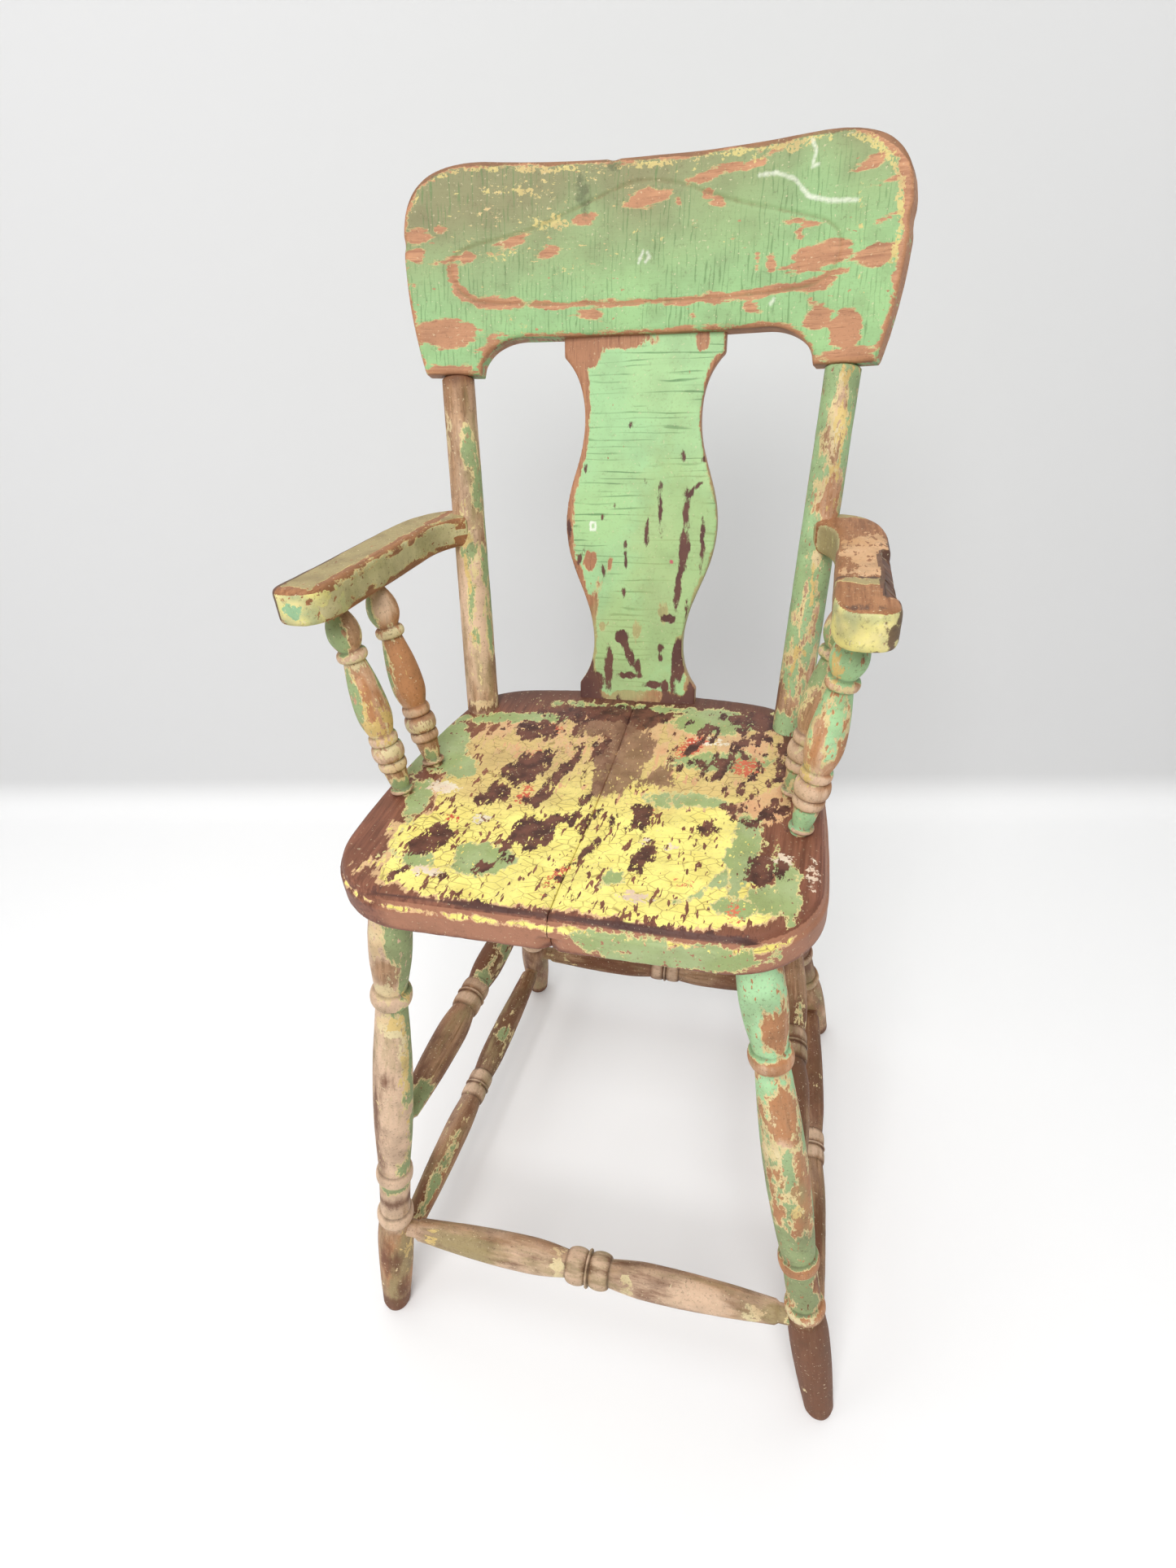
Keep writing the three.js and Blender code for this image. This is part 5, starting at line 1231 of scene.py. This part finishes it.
spindleShape = dict(
    footX=143, rearFootX=135, lean=22, rearLean=26, back=111, pitch=40, topBack=116, topPitch=49,
    tenonRadius=6.2, sunk=8, shoulder=1.6, footRing=4, footRadius=8.6, neck=11.5, neckRadius=7.4,
    collar=21.5, collarRadius=8.8, ringLength=8, ringRadius=10.6, beadLength=13, beadRadius=11.8,
    vaseRadius=12.2, vaseFullest=0.3, head=37.5, bulbRadius=11.4, bulbFullest=0.42, sides=40, firstSeed=11,
)
spindleLooks = {
    "left_front_spindle": dict(
        green=dict(vary=6, on=[(-10, 128, 44, 17), (-26, 84, 28, 30), (30, 8, 60, 5), (160, 80, 60, 60)]),
        cream=dict(base=-5, vary=8, on=[(32, 107, 120, 4), (32, 26, 60, 5), (40, 40, 40, 6)]),
        yellow=dict(vary=6, on=[(32, 56, 90, 9), (5, 72, 12, 18), (80, 62, 20, 12)], off=[(48, 66, 14, 10)]),
        grey=dict(base=-3, vary=6), olive=dict(base=-6, vary=6),
        warm=dict(base=-3, vary=6, on=[(60, 80, 60, 30)]), dark=dict(vary=6, on=[(32, 2, 180, 3)]), dirt=2,
        muted=[(0, 6)]),
    "left_rear_spindle": dict(
        green=dict(vary=6, on=[(-30, 128, 20, 14), (-38, 84, 14, 20), (30, 8, 30, 5)]),
        cream=dict(base=-6, vary=7, on=[(32, 107, 100, 4), (20, 34, 60, 4)]),
        grey=dict(base=-5, vary=6, on=[(32, 130, 60, 14)]), olive=dict(base=-5, vary=7),
        warm=dict(base=0, vary=6, on=[(40, 75, 80, 30)]),
        dark=dict(base=-8, vary=6, on=[(32, 36, 120, 5), (32, 2, 180, 3)]), dirt=2, muted=[(0, 8)]),
    "right_front_spindle": dict(
        green=dict(base=-2, vary=7, on=[(20, 128, 70, 17), (10, 92, 60, 9), (28, 74, 24, 20),
                                        (0, 50, 120, 4), (0, 12, 70, 8)],
                   off=[(-30, 76, 30, 24), (20, 54, 40, 10), (60, 76, 20, 20)]),
        cream=dict(base=-8, on=[(-28, 126, 22, 14)]), yellow=dict(on=[(-40, 124, 20, 10), (-50, 50, 30, 6)]),
        grey=dict(base=-4, vary=6), warm=dict(base=2, vary=6, on=[(0, 70, 90, 30)]),
        dark=dict(on=[(0, 2, 180, 3)]), dirt=1, muted=[(0, -5)]),
    "right_rear_spindle": dict(
        green=dict(base=-2, vary=8, on=[(-60, 100, 40, 20)]), cream=dict(base=-6, vary=6),
        yellow=dict(base=-8, vary=6), grey=dict(base=-3, vary=6), warm=dict(base=0, vary=6),
        dark=dict(base=-8, vary=6, on=[(0, 2, 180, 3)]), dirt=2, muted=[(0, 4)]),
}


def turnedSpindle(side, rear, node, look, seed):
    s, a = spindleShape, armShape
    footX = s["rearFootX"] if rear else s["footX"]
    topX = footX + (s["rearLean"] if rear else s["lean"])
    back = s["back"] + (s["pitch"] if rear else 0)
    topBack = s["topBack"] + (s["topPitch"] if rear else 0)
    foot = (side * footX, back, seatShape["height"])
    head = (side * topX, topBack, seatShape["height"] + a["height"] - (topBack - a["level"]) * a["rise"])
    length = math.dist(foot, head)
    turning = Turning(s["tenonRadius"], -s["sunk"]).to(s["shoulder"], s["tenonRadius"])
    turning.bead(s["footRing"], s["footRadius"])
    turning.to(s["neck"], s["neckRadius"]).to(s["collar"], s["collarRadius"])
    turning.bead(s["ringLength"], s["ringRadius"]).bead(s["beadLength"], s["beadRadius"])
    turning.bead(s["ringLength"], s["ringRadius"])
    turning.belly(length - s["head"], s["neckRadius"], s["vaseRadius"], s["vaseFullest"])
    turning.bead(s["ringLength"], s["ringRadius"])
    turning.belly(length - s["shoulder"], s["tenonRadius"], s["bulbRadius"], s["bulbFullest"])
    turning.to(length + s["sunk"], s["tenonRadius"])
    return turnedPiece(turning, s["sides"], node, foot, head, look, seed)


for index, (node, look) in enumerate(spindleLooks.items()):
    turnedSpindle(-1 if "left" in node else 1, "rear" in node, node, look, spindleShape["firstSeed"] + index)
print("spindles done")

# Legs

legShape = dict(
    sawn=8, toeRadius=9, toeLength=5, footRadius=12.6, footSwell=16.2, footFullest=0.78, ankle=134,
    ankleRadius=14.8, footRing=147, footRingRadius=16.2, lowRing=206, lowRingRadius=15.8, vaseRadius=16,
    vaseFullest=0.42, highRingBelowSeat=92, highRingRadius=15.5, bulbRadius=15.6, bulbFullest=0.55,
    neckRadius=11.8, waistRadius=13.2, ringLength=15, underside=502, sunk=6, topShoulder=3, sides=56,
    firstSeed=21, front=dict(footX=202, footBack=-19, headX=123, headBack=31),
    rear=dict(footX=184, footBack=398, headX=100, headBack=228),
)
legAxes = {}  # foot on the floor and head at the seat's underside
for side, across in (("left", -1), ("right", 1)):
    for end in ("front", "rear"):
        e = legShape[end]
        foot = (across * e["footX"], e["footBack"], 0)
        legAxes[f"{end}_{side}_leg"] = (foot, (across * e["headX"], e["headBack"], legShape["underside"]))
allRound = 999  # half width in degrees of a patch with no sides
legLooks = {
    "front_left_leg": dict(
        green=dict(on=[(76, 482, 70, 34), (98, 450, 52, 44), (60, 412, 34, 9), (100, 388, 24, 46),
                       (92, 318, 30, 16), (106, 270, 26, 24), (94, 235, 28, 16), (40, 198, 90, 5),
                       (60, 226, 20, 8)],
                   off=[(6, 452, 46, 15), (-20, 502, 36, 14)]),
        cream=dict(base=-8, on=[(-6, 490, 46, 26), (0, 432, 40, 8), (30, 398, 62, 13), (70, 360, 18, 40)]),
        yellow=dict(base=-11, on=[(36, 398, 34, 8), (68, 352, 10, 34), (70, 110, 14, 20)]),
        grey=dict(base=5, vary=6, on=[(0, 300, 80, 80), (40, 420, allRound, 12), (40, 204, allRound, 14)],
                  off=[(40, 66, allRound, 70), (10, 452, 44, 14)]),
        dark=dict(base=-8, vary=6, on=[(-34, 270, 20, 60), (0, 338, 18, 7), (40, 8, allRound, 18),
                                       (40, 176, allRound, 5), (4, 92, 30, 20), (50, 40, 26, 16)]),
        olive=dict(base=-7, vary=8, on=[(56, 90, 50, 44), (20, 40, 40, 30)]),
        warm=dict(vary=6, on=[(40, 80, 60, 54)]), dirt=1, muted=[(0, 9)]),
    "front_right_leg": dict(
        green=dict(base=0, vary=6, on=[(-30, 470, 90, 50), (-25, 400, 38, 12), (-72, 330, 20, 60),
                                       (30, 335, 30, 14), (0, 302, 30, 15), (20, 278, 20, 8),
                                       (-30, 240, 60, 18), (10, 226, 70, 12), (0, 182, 60, 16),
                                       (30, 436, 12, 5)],
                   off=[(42, 448, 50, 22), (28, 372, 48, 30), (60, 300, 40, 46), (-18, 312, 16, 22),
                        (35, 270, 40, 20), (70, 185, 22, 16), (0, 60, allRound, 84), (16, 408, 20, 5)]),
        cream=dict(base=-8, on=[(12, 476, 12, 6), (-26, 460, 6, 5), (-12, 338, 40, 12), (0, 222, 10, 6),
                                (-20, 147, 50, 4)]),
        yellow=dict(base=-11, vary=4, on=[(30, 276, 12, 4)]),
        olive=dict(base=-6, vary=7, off=[(0, 60, allRound, 84)]),
        grey=dict(vary=6, on=[(0, 342, 30, 10)], off=[(0, 60, allRound, 84)]),
        dark=dict(on=[(0, 50, allRound, 90), (10, 166, 40, 7), (75, 186, 20, 18)]),
        warm=dict(base=7, vary=6, off=[(0, 60, allRound, 84)]), rub=13,
        muted=[(0, 9), (240, 8), (330, 4), (420, -10)]),
    "rear_left_leg": dict(
        green=dict(vary=6), cream=dict(base=-8, vary=6), grey=dict(base=-3, vary=8),
        olive=dict(base=-3, vary=8), dark=dict(base=-2, vary=7, on=[(0, 8, allRound, 10)]),
        warm=dict(base=-5, vary=7), dirt=2, muted=[(0, 9)]),
    "rear_right_leg": dict(
        green=dict(base=-7, vary=7), cream=dict(base=-8, vary=6), grey=dict(base=-4, vary=8),
        olive=dict(base=-3, vary=8), dark=dict(base=-2, vary=7, on=[(0, 8, allRound, 10)]),
        warm=dict(base=-4, vary=7), dirt=3, muted=[(0, 6)]),
}


def turnedLeg(node, look, seed):
    g = legShape
    foot, head = legAxes[node]
    length = math.dist(foot, head)
    half = g["ringLength"] / 2
    highRing = length - g["highRingBelowSeat"]
    turning = Turning(g["toeRadius"], -g["sawn"]).to(g["toeLength"], g["footRadius"])
    turning.belly(g["ankle"], g["ankleRadius"], g["footSwell"], g["footFullest"])
    turning.to(g["footRing"] - half, g["waistRadius"])
    turning.bead(g["ringLength"], g["footRingRadius"]).to(g["lowRing"] - half, g["waistRadius"])
    turning.bead(g["ringLength"], g["lowRingRadius"])
    turning.belly(highRing - half, g["neckRadius"], g["vaseRadius"], g["vaseFullest"])
    turning.bead(g["ringLength"], g["highRingRadius"])
    turning.belly(length - g["topShoulder"], g["waistRadius"], g["bulbRadius"], g["bulbFullest"])
    turning.to(length + g["sunk"], g["waistRadius"])
    return turnedPiece(turning, g["sides"], node, foot, head, look, seed, sawLevel=True)


for index, (node, look) in enumerate(legLooks.items()):
    turnedLeg(node, look, legShape["firstSeed"] + index)
print("legs done")

# Stretchers

stretcherShape = dict(tenonRadius=7.6, tenonLength=22, tenonGap=4, shoulder=3, neckRadius=9.6,
                      waistRadius=11, swellShare=0.26, collar=3, collarRise=0.6, sides=44, firstSeed=31)
rails = {
    "front_stretcher": dict(legs=("front_left_leg", "front_right_leg"), height=125, swell=14.4, ring=15.2,
                            ringLength=38),
    "rear_stretcher": dict(legs=("rear_left_leg", "rear_right_leg"), height=104, swell=13.6, ring=13.2,
                           ringLength=34),
}
for side in ("left", "right"):
    pair = (f"front_{side}_leg", f"rear_{side}_leg")
    rails[f"{side}_low_stretcher"] = dict(legs=pair, height=72, swell=13.2, ring=12.8, ringLength=34)
    rails[f"{side}_high_stretcher"] = dict(legs=pair, height=250, swell=14, ring=13.2, ringLength=34)
facings = dict(front=(0, -1, 0), rear=(0, -1, 0), left=(1, 0, 0), right=(-1, 0, 0))  # where 0 degrees looks
plainRail = dict(
    green=dict(vary=7), grey=dict(base=-4, vary=8), olive=dict(base=-4, vary=8),
    dark=dict(base=1, vary=7), warm=dict(base=-5, vary=7), dirt=2, muted=[(0, 9)])
stretcherLooks = {
    "front_stretcher": dict(
        green=dict(base=-11, vary=4, on=[(-50, 360, 60, 10)]),
        cream=dict(vary=4, on=[(-20, 158, 90, 5), (0, 218, 60, 4), (-30, 322, 40, 7)]),
        yellow=dict(base=-12, on=[(-30, 38, 40, 5)]),
        olive=dict(base=-3, vary=7, on=[(-40, 350, 70, 22), (-30, 70, 60, 40)], off=[(-30, 265, 90, 60)]),
        grey=dict(base=0, vary=9, on=[(-40, 135, 40, 20), (-30, 250, 90, 60)]),
        dark=dict(base=-3, vary=7, on=[(62, 120, 40, 80), (62, 260, 40, 70)]), warm=dict(base=-5, vary=7),
        dirt=1, muted=[(0, 9)]),
    "left_low_stretcher": dict(
        green=dict(base=-8, vary=6, on=[(-60, 262, 26, 10), (-50, 70, 20, 40)]), cream=dict(vary=4),
        olive=dict(base=-1, vary=8), grey=dict(base=-3, vary=7),
        dark=dict(base=1, vary=8, on=[(-60, 290, 40, 10)]), warm=dict(base=-2, vary=7), dirt=2,
        muted=[(0, 10)]),
    "left_high_stretcher": dict(
        green=dict(base=-8, vary=6, on=[(-40, 34, 50, 20), (-50, 172, 44, 10), (-30, 214, 36, 8),
                                        (-60, 240, 26, 8)]),
        cream=dict(vary=4), grey=dict(base=-5, vary=7), olive=dict(base=-4, vary=8),
        dark=dict(base=3, vary=7), warm=dict(base=-5, vary=7), dirt=3, muted=[(0, 10)]),
}


def onLeg(node, height):
    foot, head = legAxes[node]
    return tuple(f + (h - f) * height / legShape["underside"] for f, h in zip(foot, head))


def turnedStretcher(node, rail, look, seed):
    s, half = stretcherShape, rail["ringLength"] / 2
    start, end = (onLeg(leg, rail["height"]) for leg in rail["legs"])
    length = math.dist(start, end)
    bead = (rail["ringLength"] - s["collar"]) / 2
    first, last = s["tenonLength"], length - s["tenonLength"]
    turning = Turning(s["tenonRadius"], s["tenonGap"]).to(first, s["tenonRadius"])
    turning.to(first + s["shoulder"], s["neckRadius"])
    turning.belly(length / 2 - half, s["waistRadius"], rail["swell"], 1 - s["swellShare"])
    for ringLength, rise in ((bead, 0), (s["collar"], s["collarRise"]), (bead, 0)):
        turning.bead(ringLength, rail["ring"] + rise)
    turning.belly(last - s["shoulder"], s["neckRadius"], rail["swell"], s["swellShare"])
    turning.to(last, s["tenonRadius"]).to(length - s["tenonGap"], s["tenonRadius"])
    facing = facings[node.split("_")[0]]
    return turnedPiece(turning, s["sides"], node, start, end, look, seed, facing)


for index, (node, rail) in enumerate(rails.items()):
    look = stretcherLooks.get(node, plainRail)
    turnedStretcher(node, rail, look, stretcherShape["firstSeed"] + index)
print("stretchers done")

# Studio: a pale floor that runs up into a pale wall, soft light and the photo's camera

photoView = dict(focal=1060.93, frameWidth=1445, frameHeight=1927, place=(143.88, -542.36, 889.64),
                 yaw=0.3006, pitch=0.606, roll=-0.0855, wallRow=1012, sensor=36, nearest=0.01)


def viewAxes():
    v = photoView
    forward = Vector((-math.sin(v["yaw"]) * math.cos(v["pitch"]), math.cos(v["yaw"]) * math.cos(v["pitch"]),
                      -math.sin(v["pitch"])))
    level = Vector((math.cos(v["yaw"]), math.sin(v["yaw"]), 0))
    upright = level.cross(forward)
    right = level * math.cos(v["roll"]) + upright * math.sin(v["roll"])
    above = upright * math.cos(v["roll"]) - level * math.sin(v["roll"])
    return right, above, forward


def floorPoint(column, row):  # where a point of the photo's frame meets the floor, in mm
    v = photoView
    right, above, forward = viewAxes()
    across, down = column - v["frameWidth"] / 2, row - v["frameHeight"] / 2
    ray = forward * v["focal"] + right * across - above * down
    place = Vector(v["place"])
    return place - ray * (place.z / ray.z)


def addCamera():
    v = photoView
    right, above, forward = viewAxes()
    freshStart()
    bpy.ops.object.camera_add()
    camera = bpy.context.object
    camera.data.sensor_width = v["sensor"]
    camera.data.lens = v["focal"] / v["frameHeight"] * v["sensor"]
    camera.data.clip_start = v["nearest"]
    turn = Matrix((right, above, -forward)).transposed().to_4x4()
    camera.matrix_world = Matrix.Translation(Vector(v["place"]) * mm) @ turn
    bpy.context.scene.camera = camera


stagePlan = dict(reach=6000, height=4000, sweep=60, steps=8,  # floor and wall in mm
                 blend=0.06, floor="#FDFDFD", wall="#DFDFDF", rough=0.9, gloss=0.1)  # blend of colour in m


def addStage():
    plan = stagePlan
    left, right = (floorPoint(column, photoView["wallRow"]) for column in (0, photoView["frameWidth"]))
    along = (right - left).normalized()
    centre = (left + right) / 2
    freshStart()
    bpy.ops.mesh.primitive_plane_add(size=1)
    stage = bpy.context.object
    stage.name = "studio_floor"
    turn = Matrix.Rotation(math.atan2(along.y, along.x), 4, "Z")
    reach = plan["reach"]
    corners = np.array([(-reach, -reach, 0), (reach, -reach, 0), (-reach, 0, 0), (reach, 0, 0)], float)
    movePlaces(stage, corners)
    bpy.ops.object.mode_set(mode="EDIT")
    bpy.ops.mesh.select_all(action="DESELECT")
    bpy.ops.object.mode_set(mode="OBJECT")
    for edge in stage.data.edges:
        edge.select = all(corners[i][1] > -1 for i in edge.vertices)
    bpy.ops.object.mode_set(mode="EDIT")
    bpy.ops.mesh.select_mode(type="EDGE")
    turns = np.linspace(0, math.pi / 2, plan["steps"] + 1)
    rises = np.diff(np.column_stack([np.sin(turns), 1 - np.cos(turns)]), axis=0) * plan["sweep"]
    for further, higher in rises.tolist() + [(0, plan["height"])]:
        bpy.ops.mesh.extrude_region_move(TRANSFORM_OT_translate={"value": (0, further, higher)})
    bpy.ops.object.mode_set(mode="OBJECT")
    bpy.ops.object.shade_smooth()
    stage.data.transform(Matrix.Scale(mm, 4) @ Matrix.Translation(centre) @ turn)
    finish = Finish("studio_pale")
    where = finish.add("ShaderNodeTexCoord").outputs["Object"]
    split = finish.add("ShaderNodeSeparateXYZ")
    finish.feed(split.inputs[0], where)
    wall = finish.step(split.outputs["Z"], 0.0, plan["blend"])
    pale = finish.mix(wall, shade(plan["floor"]), shade(plan["wall"]))
    finish.feed(finish.shader.inputs["Base Color"], pale)
    finish.shader.inputs["Roughness"].default_value = plan["rough"]
    finish.shader.inputs["Specular IOR Level"].default_value = plan["gloss"]
    clear = finish.add("ShaderNodeBsdfTransparent")
    seen = finish.add("ShaderNodeMixShader")  # the wall is open to a view from behind
    finish.feed(seen.inputs[0], finish.add("ShaderNodeNewGeometry").outputs["Backfacing"])
    finish.feed(seen.inputs[1], finish.shader.outputs[0])
    finish.feed(seen.inputs[2], clear.outputs[0])
    finish.feed(finish.tree.nodes["Material Output"].inputs[0], seen.outputs[0])
    stage.data.materials.append(finish.material)


lightPlan = [  # name, place in m, aimed at, size, strength in watts
    ("key", (0.15, -1.9, 2.5), (0, 0, 0.5), 1.4, 55),
    ("fill", (-1.9, -1.2, 1.5), (0, 0, 0.5), 1.6, 8),
    ("top", (0.0, 0.2, 3.0), (0, 0, 0.4), 2.4, 24),
]
skyStrength = 0.28


def addLights():
    for name, place, aim, size, power in lightPlan:
        freshStart()
        bpy.ops.object.light_add(type="AREA", location=place)
        lamp = bpy.context.object
        lamp.name = name
        lamp.data.size = size
        lamp.data.energy = power
        lamp.rotation_euler = (Vector(aim) - Vector(place)).to_track_quat("-Z", "Y").to_euler()
    world = bpy.data.worlds.new("studio")
    bpy.context.scene.world = world
    world.use_nodes = True
    sky = world.node_tree.nodes["Background"].inputs
    sky["Color"].default_value = (1, 1, 1, 1)
    sky["Strength"].default_value = skyStrength


addStage()
addLights()
addCamera()
bpy.context.scene.view_settings.view_transform = "Standard"
print("studio done")
